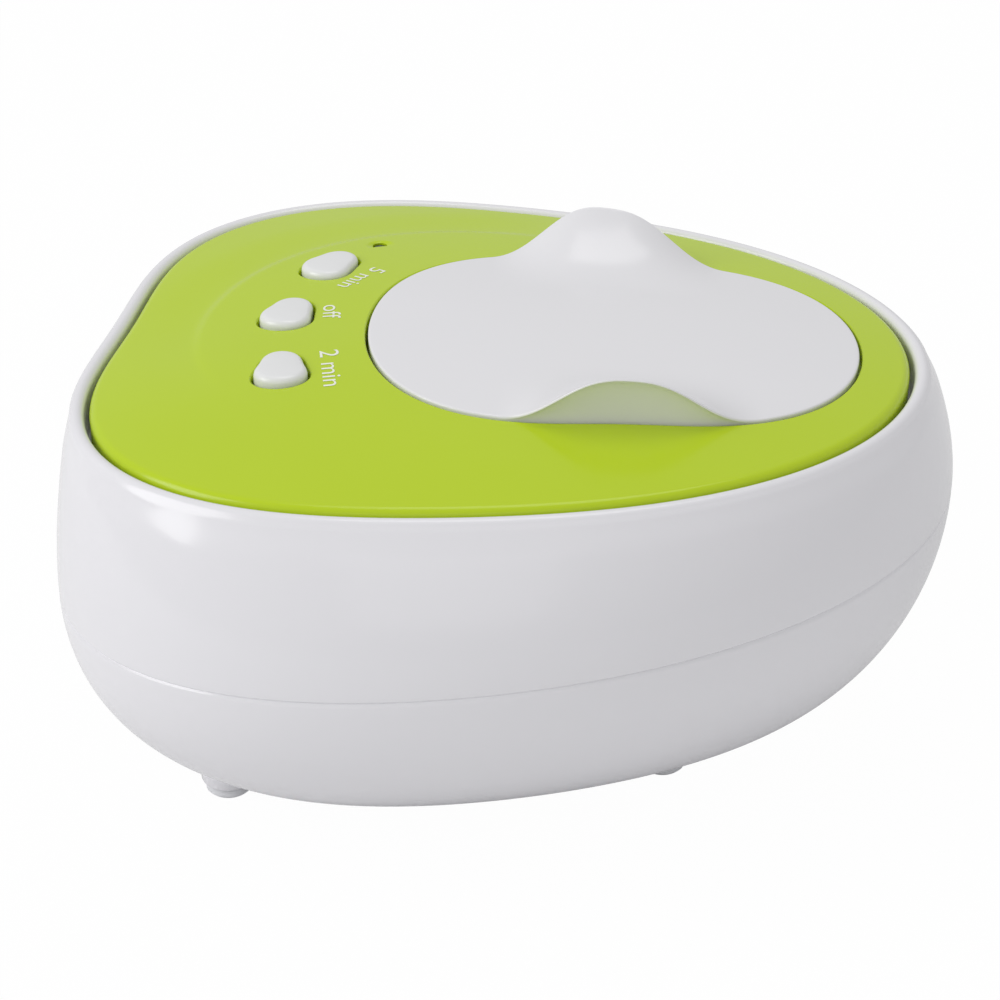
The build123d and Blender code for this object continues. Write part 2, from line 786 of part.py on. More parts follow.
led_bottom = led_top - led_length
led_leads_at = [(led_place[0] - lead_diameter, led_place[1]), (led_place[0] + lead_diameter, led_place[1])]
with BuildPart() as indicator_led:
    with BuildSketch(Plane.XY.offset(led_bottom)):
        with Locations(led_place):
            Circle(led_diameter / 2)
    extrude(amount=led_length)
    fillet(indicator_led.edges().group_by(Axis.Z)[-1], radius=led_diameter * 0.4)
    with BuildSketch(Plane.XY.offset(led_bottom)):
        with Locations(led_place):
            Circle(led_flange / 2)
    extrude(amount=lead_diameter)
    with BuildSketch(Plane.XY.offset(led_bottom)):
        with Locations(*led_leads_at):
            Circle(lead_diameter / 3)
    extrude(amount=switch_board_top - led_bottom)
save(indicator_led.part, "indicator_led")

with BuildPart() as led_spacer:
    with BuildSketch(Plane.XY.offset(switch_board_top)):
        with Locations(led_place):
            Circle(led_spacer_diameter / 2)
            Circle(led_spacer_diameter / 2 - led_flange / 4, mode=Mode.SUBTRACT)
    extrude(amount=led_bottom - switch_board_top)
save(led_spacer.part, "led_spacer")

# ------------------------------------------------------------------ transducer and main board
with BuildPart() as piezo_disc:
    with BuildSketch(Plane.XY.offset(piezo_underside)):
        with Locations((lid_x, 0)):
            Circle(piezo_diameter / 2)
    extrude(amount=piezo_thickness)
save(piezo_disc.part, "piezo_disc")

with BuildPart() as main_board:
    with BuildSketch(Plane.XY.offset(board_underside)):
        with Locations((plan_x, board_y)):
            plate = Rectangle(board_width, board_length)
        chamfer(plate.vertices(), length=board_corner)
        with Locations(*board_screws_at):
            Circle(small_screw / 2 + pilot, mode=Mode.SUBTRACT)
    extrude(amount=board_thickness)
save(main_board.part, "main_board")
save(small_screws(board_screws_at, board_top, -1, board_screw_length), "main_board_screws")


def on_board(across, along):
    """A place on the main board, from its middle."""
    return (plan_x + across * board_width, board_y + along * board_length)


with BuildPart() as dc_jack:
    with BuildSketch(Plane.XZ.offset(-jack_front)):
        with Locations((plan_x, board_top)):
            Rectangle(jack_width, jack_height, align=(Align.CENTER, Align.MIN))
    extrude(amount=jack_length)
    fillet(dc_jack.edges().filter_by(Axis.Y).group_by(Axis.Z)[-1], radius=jack_width / 6)
    with BuildSketch(Plane.XZ.offset(-jack_front)):
        with Locations((plan_x, jack_level)):
            Circle(jack_bore / 2)
            Circle(jack_pin / 2, mode=Mode.SUBTRACT)
    extrude(amount=jack_bore_depth, mode=Mode.SUBTRACT)
save(dc_jack.part, "dc_jack")

transformer_at = on_board(-0.3, 0)
window_width = (transformer_width - transformer_limb) / 2 - transformer_yoke
window_height = transformer_height - 2 * transformer_yoke
window_level = board_top + transformer_height / 2
with BuildPart() as transformer_core:
    with Locations((*transformer_at, window_level)):
        Box(transformer_width, transformer_depth, transformer_height)
    with Locations(
        (transformer_at[0] - (transformer_limb + window_width) / 2, transformer_at[1], window_level),
        (transformer_at[0] + (transformer_limb + window_width) / 2, transformer_at[1], window_level),
    ):
        Box(window_width, transformer_depth, window_height, mode=Mode.SUBTRACT)
save(transformer_core.part, "transformer_core")

with BuildPart() as transformer_winding:
    with Locations((*transformer_at, window_level)):
        Box(transformer_limb + 2 * winding_build, transformer_depth + 2 * winding_build, window_height)
    fillet(transformer_winding.edges().filter_by(Axis.Z), radius=winding_build / 2)
    with Locations((*transformer_at, window_level)):
        Box(transformer_limb, transformer_depth, window_height, mode=Mode.SUBTRACT)
save(transformer_winding.part, "transformer_winding")

with BuildPart() as inductor:
    with Locations((*on_board(-0.21, 0.3), board_top + inductor_tube)):
        Torus(inductor_radius, inductor_tube)
save(inductor.part, "inductor")

with BuildPart() as electrolytic_capacitors:
    with BuildSketch(Plane.XY.offset(board_top)):
        with Locations(on_board(0.22, 0.13), on_board(0.22, 0.28)):
            Circle(can_diameter / 2)
    extrude(amount=can_height)
    fillet(electrolytic_capacitors.edges().group_by(Axis.Z)[-1], radius=can_diameter / 12)
save(electrolytic_capacitors.part, "electrolytic_capacitors")

with BuildPart() as film_capacitor:
    with Locations((*on_board(0.06, -0.14), board_top)):
        Box(film_length, film_width, film_height, align=(Align.CENTER, Align.CENTER, Align.MIN))
    fillet(film_capacitor.edges().group_by(Axis.Z)[-1], radius=film_width / 8)
save(film_capacitor.part, "film_capacitor")

sink_at = on_board(0.4, 0)
with BuildPart() as heat_sink:
    with Locations((sink_at[0] - (sink_width - sink_base) / 2, sink_at[1], board_top)):
        Box(sink_base, sink_length, sink_height, align=(Align.CENTER, Align.CENTER, Align.MIN))
    with Locations((*sink_at, board_top)):
        with GridLocations(0, (sink_length - fin_thickness) / (fin_count - 1), 1, fin_count):
            Box(sink_width, fin_thickness, sink_height, align=(Align.CENTER, Align.CENTER, Align.MIN))
save(heat_sink.part, "heat_sink")

package_face = sink_at[0] - sink_width / 2
package_x = package_face - package_depth / 2
package_bottom = board_top + sink_height - package_height
with BuildPart() as power_transistor:
    with Locations((package_x, sink_at[1], package_bottom)):
        Box(package_depth, package_width, package_height, align=(Align.CENTER, Align.CENTER, Align.MIN))
    chamfer(power_transistor.faces().sort_by(Axis.X)[0].edges().sort_by(Axis.Z)[-1], length=package_depth / 3)
    with Locations((package_x, sink_at[1], board_top)):
        with GridLocations(0, leg_spacing, 1, 3):
            Box(
                leg_thickness,
                leg_width,
                sink_height - package_height + leg_width,
                align=(Align.CENTER, Align.CENTER, Align.MIN),
            )
save(power_transistor.part, "power_transistor")

chip_at = on_board(0.045, 0.05)
chip_level = board_top + leg_thickness
with BuildPart() as timer_chip:
    with Locations((*chip_at, chip_level)):
        Box(chip_length, chip_width, chip_height, align=(Align.CENTER, Align.CENTER, Align.MIN))
    with Locations((*chip_at, board_top)):
        with GridLocations(leg_spacing * 0.9, chip_width, 4, 2):
            Box(leg_width, 2 * leg_thickness, chip_height / 2, align=(Align.CENTER, Align.CENTER, Align.MIN))
save(timer_chip.part, "timer_chip")

# ------------------------------------------------------------------ wiring
upper_socket_at = (switch_board_x, -switch_board_length * 0.15)
lower_socket_at = on_board(-0.3, -0.29)
lead_socket_at = on_board(0.145, -0.28)
with BuildPart() as harness_sockets:
    with Locations((*upper_socket_at, switch_board_underside - socket_height), (*lower_socket_at, board_top)):
        Box(socket_width, socket_length, socket_height, align=(Align.CENTER, Align.CENTER, Align.MIN))
    with Locations((*lead_socket_at, board_top)):
        Box(socket_width, socket_length, socket_height, align=(Align.CENTER, Align.CENTER, Align.MIN))
save(harness_sockets.part, "harness_sockets")

harness_top = switch_board_underside - socket_height
harness_bottom = board_top + socket_height
harness_middle = (harness_top + harness_bottom) / 2
with BuildPart() as signal_harness:
    with BuildLine():
        FilletPolyline(
            (*upper_socket_at, harness_top),
            (*upper_socket_at, harness_middle),
            (*lower_socket_at, harness_middle),
            (*lower_socket_at, harness_bottom),
            radius=harness_diameter,
        )
    with BuildSketch(Plane.XY.offset(harness_top)):
        with Locations(upper_socket_at):
            Circle(harness_diameter / 2)
    sweep()
save(signal_harness.part, "signal_harness")

lead_start_x = lid_x - piezo_diameter / 4
lead_middle = (piezo_underside + harness_bottom) / 2
lead_rows = [lead_socket_at[1] - lead_cover, lead_socket_at[1] + lead_cover]
with BuildPart() as transducer_leads:
    for row in lead_rows:
        with BuildLine():
            FilletPolyline(
                (lead_start_x, row, piezo_underside),
                (lead_start_x, row, lead_middle),
                (lead_socket_at[0], row, lead_middle),
                (lead_socket_at[0], row, harness_bottom),
                radius=lead_cover,
            )
        with BuildSketch(Plane.XY.offset(piezo_underside)):
            with Locations((lead_start_x, row)):
                Circle(lead_cover / 2)
        sweep()
save(transducer_leads.part, "transducer_leads")
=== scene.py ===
"""Looks for an ultrasonic contact lens cleaner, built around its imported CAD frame.

Lengths are worked out in millimetres and written to the meshes in metres.  The shells, the panel,
the lamp, the lid and the buttons are surfaces worked out as arrays; every other piece keeps its
CAD solid.
"""
import json
import logging
from dataclasses import dataclass
from enum import Enum
from math import asin, cos, pi, radians, sin

import bmesh
import bpy
import numpy as np
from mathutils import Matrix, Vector

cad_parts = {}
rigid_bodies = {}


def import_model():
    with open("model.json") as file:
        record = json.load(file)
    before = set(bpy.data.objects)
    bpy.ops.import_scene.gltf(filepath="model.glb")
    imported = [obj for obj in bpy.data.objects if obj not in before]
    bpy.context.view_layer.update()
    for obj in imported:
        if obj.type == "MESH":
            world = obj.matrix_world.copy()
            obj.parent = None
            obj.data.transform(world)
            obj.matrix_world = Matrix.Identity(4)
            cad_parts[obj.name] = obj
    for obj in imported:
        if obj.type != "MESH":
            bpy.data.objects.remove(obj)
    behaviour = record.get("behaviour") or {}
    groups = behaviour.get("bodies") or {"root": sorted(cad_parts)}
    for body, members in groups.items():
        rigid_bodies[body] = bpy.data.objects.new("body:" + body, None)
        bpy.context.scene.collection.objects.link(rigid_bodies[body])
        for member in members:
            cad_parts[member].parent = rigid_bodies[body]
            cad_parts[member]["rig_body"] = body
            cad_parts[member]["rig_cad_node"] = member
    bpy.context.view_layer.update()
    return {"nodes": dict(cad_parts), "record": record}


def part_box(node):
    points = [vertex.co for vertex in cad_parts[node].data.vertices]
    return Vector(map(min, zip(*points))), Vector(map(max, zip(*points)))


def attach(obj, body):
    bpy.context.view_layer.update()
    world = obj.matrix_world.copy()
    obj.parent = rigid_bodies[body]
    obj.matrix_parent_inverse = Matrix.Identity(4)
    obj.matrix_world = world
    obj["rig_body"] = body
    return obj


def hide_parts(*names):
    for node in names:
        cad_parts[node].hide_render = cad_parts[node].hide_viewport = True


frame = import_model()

MM = 0.001
LOG = logging.getLogger("cleaner")
COLUMNS = 288
TURNED_COLUMNS = 64
SHARP_ANGLE = 32.0
MERGE_DISTANCE = 1e-6


# ---------------------------------------------------------------- meshes
def smoothstep(value: np.ndarray) -> np.ndarray:
    """Zero below 0, one above 1, and 3t squared less 2t cubed between."""
    t = np.clip(value, 0.0, 1.0)
    return t * t * (3 - 2 * t)


def add_object(name: str, data: bpy.types.ID) -> bpy.types.Object:
    """A new object around a mesh, curve, lamp or camera, in the scene."""
    made = bpy.data.objects.new(name, data)
    bpy.context.scene.collection.objects.link(made)
    return made


def level_ring(x: np.ndarray, y: np.ndarray, height: np.ndarray | float) -> np.ndarray:
    """One ring of points from plan places and a height, which may differ from point to point."""
    return np.stack([x, y, np.broadcast_to(height, x.shape)], axis=-1)


def shrinking_rings(ring: np.ndarray, shares: tuple[float, ...]) -> list[np.ndarray]:
    """Copies of a ring, each drawn in to a share of it about its middle."""
    middle = ring.mean(axis=0)
    return [middle + (ring - middle) * share for share in shares]


def ring_mesh(name: str, rings: np.ndarray, looped: bool = False) -> bpy.types.Object:
    """A closed surface through rings of points, rows by columns, with the columns closed.

    Args:
        name: the piece's name.
        rings: points in millimetres, shaped (rows, columns, 3).
        looped: the last ring joins the first; otherwise each end is closed by a fan.

    Returns:
        The new object, smooth except at sharp edges, with its faces outwards.
    """
    rows, columns, _ = rings.shape
    points = rings.reshape(-1, 3)
    index = np.arange(rows * columns).reshape(rows, columns)
    after = np.roll(index, -1, axis=1)
    row = np.arange(rows if looped else rows - 1)
    next_row = (row + 1) % rows
    quads = np.stack([index[row], after[row], after[next_row], index[next_row]], axis=-1).reshape(-1, 4)
    faces = quads.tolist()
    if not looped:
        ends = np.stack([rings[0].mean(axis=0), rings[-1].mean(axis=0)])
        points = np.concatenate([points, ends])
        first, final = rows * columns, rows * columns + 1
        faces += np.stack([after[0], index[0], np.full(columns, first)], axis=-1).tolist()
        faces += np.stack([index[-1], after[-1], np.full(columns, final)], axis=-1).tolist()
    mesh = bpy.data.meshes.new(name)
    mesh.from_pydata((points * MM).tolist(), [], faces)
    mesh.validate()
    made = add_object(name, mesh)
    face_outwards(made)
    soften(made)
    return made


def face_outwards(piece: bpy.types.Object) -> None:
    """Recalculates a closed mesh's normals so that they point outwards."""
    work = bmesh.new()
    work.from_mesh(piece.data)
    bmesh.ops.recalc_face_normals(work, faces=work.faces)
    work.to_mesh(piece.data)
    work.free()


def soften(piece: bpy.types.Object, angle: float = SHARP_ANGLE) -> None:
    """Smooth shading, with edges over an angle in degrees kept sharp."""
    piece.data.shade_smooth()
    piece.data.set_sharp_from_angle(angle=radians(angle))


def carve(piece: bpy.types.Object, tools: list[bpy.types.Object], operation: str) -> None:
    """Adds or cuts tools from a piece and deletes the tools.

    Args:
        piece: the closed piece that is changed.
        tools: closed pieces that don't touch each other.
        operation: UNION, DIFFERENCE or INTERSECT.
    """
    for tool in tools:
        change = piece.modifiers.new("carve", "BOOLEAN")
        change.operation = operation
        change.solver = "EXACT"
        change.object = tool
    depsgraph = bpy.context.evaluated_depsgraph_get()
    carved = bpy.data.meshes.new_from_object(piece.evaluated_get(depsgraph))
    piece.modifiers.clear()
    piece.data = carved
    for tool in tools:
        bpy.data.objects.remove(tool)
    soften(piece)


def polished_copy(node: str, angle: float) -> bpy.types.Object:
    """A merged copy of a CAD node with smooth shading, which stands for the node."""
    made = frame["nodes"][node].copy()
    made.data = made.data.copy()
    made.name = node + ".polished"
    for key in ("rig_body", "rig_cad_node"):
        if key in made:
            del made[key]
    made.parent = None
    bpy.context.scene.collection.objects.link(made)
    work = bmesh.new()
    work.from_mesh(made.data)
    bmesh.ops.remove_doubles(work, verts=work.verts, dist=MERGE_DISTANCE)
    work.to_mesh(made.data)
    work.free()
    soften(made, angle)
    weighted = made.modifiers.new("weighted", "WEIGHTED_NORMAL")
    weighted.keep_sharp = True
    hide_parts(node)
    return made


# ---------------------------------------------------------------- outlines
@dataclass(frozen=True)
class Outline:
    """Closed outline in plan: a mean radius plus cosine waves about a centre on the X axis."""

    centre_x: float
    mean: float
    waves: tuple[float, ...]
    turn: float = 0.0

    def radius(self, angle: np.ndarray) -> np.ndarray:
        """Mean radius plus each wave's size times the cosine of its multiple of the turned angle."""
        total = np.full_like(angle, self.mean)
        for multiple, size in enumerate(self.waves, start=1):
            total = total + size * np.cos(multiple * (angle - radians(self.turn)))
        return total

    def points(self, angle: np.ndarray, grow: float = 0.0) -> tuple[np.ndarray, np.ndarray]:
        """X and Y round the outline, grown outwards by a distance."""
        radius = self.radius(angle) + grow
        return self.centre_x + radius * np.cos(angle), radius * np.sin(angle)


@dataclass(frozen=True)
class Plan:
    """The outlines and levels that every shell shares."""

    plan_x: float = -10.547
    lid_ahead: float = 25.0
    lid_turn: float = 5.0
    arc_ahead: float = 42.5
    rim_height: float = 70.0
    dome_rise: float = 4.0
    step_depth: float = 0.4
    step_width: float = 2.0
    step_radius: float = 43.0
    step_fade: float = 12.0
    step_start: float = 70.0
    step_start_fade: float = 28.0
    step_span: float = 152.0
    step_end_fade: float = 40.0

    @property
    def lid_x(self) -> float:
        """X of the lid's centre."""
        return self.plan_x + self.lid_ahead

    @property
    def rim(self) -> Outline:
        """Outer edge of the control panel."""
        return Outline(self.plan_x, 64.0, (3.8, 3.2, 4.6, -1.5, 0.6))

    @property
    def belly(self) -> Outline:
        """Widest line of the housing."""
        return Outline(self.plan_x, 74.1, (5.2, -0.2, 5.2, -1.5, 0.6))

    @property
    def lid(self) -> Outline:
        """Edge of the lid, without its lips."""
        return Outline(self.lid_x, 37.2, (0.0, 4.7, 0.7, -1.2), self.lid_turn)

    def angles(self, columns: int = COLUMNS) -> np.ndarray:
        """Even angles once round."""
        return np.linspace(0, 2 * pi, columns, endpoint=False)

    def dome(self, x: np.ndarray, y: np.ndarray) -> np.ndarray:
        """Top of the panel: rim height plus the rise times one less the squared share of the rim."""
        angle = np.arctan2(y, x - self.plan_x)
        share = np.hypot(x - self.plan_x, y) / self.rim.radius(angle)
        return self.rim_height + self.dome_rise * (1 - share**2)

    def panel_top(self, x: np.ndarray, y: np.ndarray) -> np.ndarray:
        """The dome with a shallow step down behind the buttons that fades out towards the rim."""
        angle = np.arctan2(y, x - self.plan_x)
        reach = np.hypot(x - self.plan_x, y)
        turned = np.mod(angle - radians(self.step_start), 2 * pi)
        starting = smoothstep(turned / radians(self.step_start_fade))
        ending = smoothstep((radians(self.step_span) - turned) / radians(self.step_end_fade))
        down = smoothstep((reach - self.step_radius) / self.step_width)
        back = 1 - smoothstep((reach - self.step_radius - self.step_width) / self.step_fade)
        return self.dome(x, y) - self.step_depth * down * back * (starting * ending)

    def dome_at(self, x: float, y: float) -> float:
        """Height of the dome at one place."""
        return float(self.dome(np.array(x), np.array(y)))

    def on_arc(self, degrees: float, arc: float) -> tuple[float, float]:
        """A place on an arc about the buttons' arc centre, counted from straight behind it."""
        return self.plan_x + self.arc_ahead - arc * cos(radians(degrees)), arc * sin(radians(degrees))

    def to_lid(self, x: np.ndarray, y: np.ndarray) -> tuple[np.ndarray, np.ndarray]:
        """Distances along and across the lid of places in plan."""
        turn = radians(self.lid_turn)
        ahead = x - self.lid_x
        return ahead * cos(turn) + y * sin(turn), y * cos(turn) - ahead * sin(turn)

    def from_lid(self, along: np.ndarray, across: np.ndarray) -> tuple[np.ndarray, np.ndarray]:
        """Places in plan at distances along and across the lid."""
        turn = radians(self.lid_turn)
        return self.lid_x + along * cos(turn) - across * sin(turn), along * sin(turn) + across * cos(turn)


PLAN = Plan()


Profile = tuple[tuple[float, float], ...]


def turned_profile(name: str, x: float, y: float, profile: Profile) -> bpy.types.Object:
    """A solid of revolution about a vertical axis: each profile row is a radius and a height."""
    angle = PLAN.angles(TURNED_COLUMNS)
    rings = [level_ring(x + r * np.cos(angle), y + r * np.sin(angle), height) for r, height in profile]
    return ring_mesh(name, np.stack(rings))


def across_profile(name: str, x: float, z: float, profile: Profile) -> bpy.types.Object:
    """A solid of revolution about an axis along Y: each profile row is a radius and a Y."""
    angle = PLAN.angles(TURNED_COLUMNS)
    rings = [
        np.stack([x + r * np.cos(angle), np.full_like(angle, y), z + r * np.sin(angle)], axis=-1)
        for r, y in profile
    ]
    return ring_mesh(name, np.stack(rings))


# ---------------------------------------------------------------- finishes
class Grain(Enum):
    """The kinds of fine relief a finish can have."""

    MOULDED = "moulded"
    BRUSHED = "brushed"
    WOUND = "wound"
    CAST = "cast"


def fill(node: bpy.types.Node, values: dict[str, object]) -> None:
    """Sets a node's inputs, by name."""
    for label, value in values.items():
        node.inputs[label].default_value = value


class NodeGroups:
    """Shared shader groups, each built once."""

    def __init__(self) -> None:
        """Builds the groups."""
        self.drift = self._drift()
        self.relief = self._relief()
        self.brush = self._brush()
        self.winding = self._winding()
        self.dust = self._dust()
        self.by_grain = {Grain.BRUSHED: self.brush, Grain.WOUND: self.winding}

    @staticmethod
    def _group(name: str, inputs: dict[str, object], outputs: dict[str, str]) -> bpy.types.NodeTree:
        """An empty group with named sockets: numbers or colours in, and sockets by kind out."""
        tree = bpy.data.node_groups.new(name, "ShaderNodeTree")
        for label, value in inputs.items():
            kind = "NodeSocketColor" if isinstance(value, tuple) else "NodeSocketFloat"
            socket = tree.interface.new_socket(name=label, in_out="INPUT", socket_type=kind)
            socket.default_value = value
        for label, kind in outputs.items():
            tree.interface.new_socket(name=label, in_out="OUTPUT", socket_type=kind)
        tree.nodes.new("NodeGroupInput").name = "in"
        tree.nodes.new("NodeGroupOutput").name = "out"
        return tree

    @staticmethod
    def _noise(
        tree: bpy.types.NodeTree,
        scale_from: bpy.types.NodeSocket,
        stretch: tuple[float, float, float],
        detail: float,
    ) -> bpy.types.NodeSocket:
        """A noise on object coordinates, stretched along the axes; returns its value's socket."""
        coordinates = tree.nodes.new("ShaderNodeTexCoord")
        mapping = tree.nodes.new("ShaderNodeMapping")
        mapping.inputs["Scale"].default_value = stretch
        noise = tree.nodes.new("ShaderNodeTexNoise")
        noise.inputs["Detail"].default_value = detail
        tree.links.new(coordinates.outputs["Object"], mapping.inputs["Vector"])
        tree.links.new(mapping.outputs["Vector"], noise.inputs["Vector"])
        tree.links.new(scale_from, noise.inputs["Scale"])
        return noise.outputs["Fac"]

    @staticmethod
    def _math(
        tree: bpy.types.NodeTree, operation: str, first: object, second: object, third: object = None
    ) -> bpy.types.NodeSocket:
        """A math node over sockets or numbers; returns its output."""
        node = tree.nodes.new("ShaderNodeMath")
        node.operation = operation
        for place, value in enumerate((first, second, third)):
            if value is None:
                continue
            if isinstance(value, bpy.types.NodeSocket):
                tree.links.new(value, node.inputs[place])
            else:
                node.inputs[place].default_value = value
        return node.outputs[0]

    def _drift(self) -> bpy.types.NodeTree:
        """Tone and gloss that wander slowly over a surface."""
        tree = self._group(
            "surface drift",
            {"Color": (0.8, 0.8, 0.8, 1.0), "Tone": 0.03, "Roughness": 0.2, "Spread": 0.05, "Scale": 30.0},
            {"Color": "NodeSocketColor", "Roughness": "NodeSocketFloat"},
        )
        source, target = tree.nodes["in"], tree.nodes["out"]
        noise = self._noise(tree, source.outputs["Scale"], (1, 1, 1), 3.0)
        centred = self._math(tree, "SUBTRACT", noise, 0.5)
        value = self._math(tree, "MULTIPLY_ADD", centred, source.outputs["Tone"], 1.0)
        shade = tree.nodes.new("ShaderNodeHueSaturation")
        tree.links.new(source.outputs["Color"], shade.inputs["Color"])
        tree.links.new(value, shade.inputs["Value"])
        fine_scale = self._math(tree, "MULTIPLY", source.outputs["Scale"], 9.0)
        streaks = self._noise(tree, fine_scale, (1, 1, 0.25), 2.0)
        centred_streaks = self._math(tree, "SUBTRACT", streaks, 0.5)
        rough = self._math(
            tree, "MULTIPLY_ADD", centred_streaks, source.outputs["Spread"], source.outputs["Roughness"]
        )
        tree.links.new(shade.outputs["Color"], target.inputs["Color"])
        tree.links.new(rough, target.inputs["Roughness"])
        return tree

    def _relief(self) -> bpy.types.NodeTree:
        """Fine moulded or cast relief."""
        tree = self._group("fine relief", {"Scale": 900.0, "Coarse": 0.3}, {"Height": "NodeSocketFloat"})
        source, target = tree.nodes["in"], tree.nodes["out"]
        fine = self._noise(tree, source.outputs["Scale"], (1, 1, 1), 2.0)
        slow_scale = self._math(tree, "MULTIPLY", source.outputs["Scale"], 0.06)
        slow = self._noise(tree, slow_scale, (1, 1, 1), 1.0)
        height = self._math(tree, "MULTIPLY_ADD", slow, source.outputs["Coarse"], fine)
        tree.links.new(height, target.inputs["Height"])
        return tree

    def _brush(self) -> bpy.types.NodeTree:
        """Long fine lines along the X axis, as drawn or rolled metal has."""
        tree = self._group("brush lines", {"Scale": 500.0}, {"Height": "NodeSocketFloat"})
        source, target = tree.nodes["in"], tree.nodes["out"]
        lines = self._noise(tree, source.outputs["Scale"], (0.04, 1, 1), 3.0)
        tree.links.new(lines, target.inputs["Height"])
        return tree

    def _winding(self) -> bpy.types.NodeTree:
        """Even rounded ribs stacked along Z, as a wound coil or a bundled lead has."""
        tree = self._group("winding ribs", {"Scale": 3000.0}, {"Height": "NodeSocketFloat"})
        source, target = tree.nodes["in"], tree.nodes["out"]
        coordinates = tree.nodes.new("ShaderNodeTexCoord")
        split = tree.nodes.new("ShaderNodeSeparateXYZ")
        tree.links.new(coordinates.outputs["Object"], split.inputs[0])
        phase = self._math(tree, "MULTIPLY", split.outputs["Z"], source.outputs["Scale"])
        wave = self._math(tree, "SINE", phase, None)
        tree.links.new(wave, target.inputs["Height"])
        return tree

    def _dust(self) -> bpy.types.NodeTree:
        """A thin film on what faces up, broken by noise."""
        tree = self._group("settled dust", {"Amount": 0.05, "Scale": 120.0}, {"Mask": "NodeSocketFloat"})
        source, target = tree.nodes["in"], tree.nodes["out"]
        geometry = tree.nodes.new("ShaderNodeNewGeometry")
        split = tree.nodes.new("ShaderNodeSeparateXYZ")
        tree.links.new(geometry.outputs["Normal"], split.inputs[0])
        up = self._math(tree, "MAXIMUM", split.outputs["Z"], 0.0)
        noise = self._noise(tree, source.outputs["Scale"], (1, 1, 1), 4.0)
        patch = self._math(tree, "MULTIPLY", up, noise)
        mask = self._math(tree, "MULTIPLY", patch, source.outputs["Amount"])
        tree.links.new(mask, target.inputs["Mask"])
        return tree


SCATTER_REACH = (0.002, 0.002, 0.002)
DUST_COLOR = (0.62, 0.61, 0.58, 1.0)
BUMP_PER_RELIEF = 10


@dataclass(frozen=True)
class Finish:
    """One material: its colour, gloss and fine relief."""

    name: str
    color: tuple[float, float, float]
    roughness: float = 0.3
    metallic: float = 0.0
    tone: float = 0.03
    spread: float = 0.05
    drift_scale: float = 30.0
    grain: Grain = Grain.MOULDED
    grain_scale: float = 900.0
    relief: float = 0.02
    dust: float = 0.03
    specular: float = 0.5
    subsurface: float = 0.0

    def build(self, groups: NodeGroups) -> bpy.types.Material:
        """The material, with the shared groups placed in it at this finish's own values."""
        material = bpy.data.materials.new(self.name)
        material.use_nodes = True
        tree = material.node_tree
        shader = tree.nodes["Principled BSDF"]
        fill(shader, {
            "Metallic": self.metallic,
            "Specular IOR Level": self.specular,
            "Subsurface Weight": self.subsurface,
            "Subsurface Radius": SCATTER_REACH,
            "Subsurface Scale": 1.0,
        })
        drift = self._place(tree, groups.drift)
        fill(drift, {
            "Color": (*self.color, 1.0),
            "Tone": self.tone,
            "Roughness": self.roughness,
            "Spread": self.spread,
            "Scale": self.drift_scale,
        })
        film = self._place(tree, groups.dust)
        fill(film, {"Amount": self.dust})
        mix = tree.nodes.new("ShaderNodeMix")
        mix.data_type = "RGBA"
        tree.links.new(film.outputs["Mask"], mix.inputs["Factor"])
        tree.links.new(drift.outputs["Color"], mix.inputs["A"])
        mix.inputs["B"].default_value = DUST_COLOR
        tree.links.new(mix.outputs["Result"], shader.inputs["Base Color"])
        tree.links.new(drift.outputs["Roughness"], shader.inputs["Roughness"])
        bump = tree.nodes.new("ShaderNodeBump")
        fill(bump, {"Strength": min(1.0, self.relief * BUMP_PER_RELIEF), "Distance": self.relief * MM})
        relief = self._place(tree, groups.by_grain.get(self.grain, groups.relief))
        fill(relief, {"Scale": self.grain_scale})
        tree.links.new(relief.outputs["Height"], bump.inputs["Height"])
        tree.links.new(bump.outputs["Normal"], shader.inputs["Normal"])
        return material

    @staticmethod
    def _place(tree: bpy.types.NodeTree, group: bpy.types.NodeTree) -> bpy.types.Node:
        """Places a shared group in a material."""
        node = tree.nodes.new("ShaderNodeGroup")
        node.node_tree = group
        return node


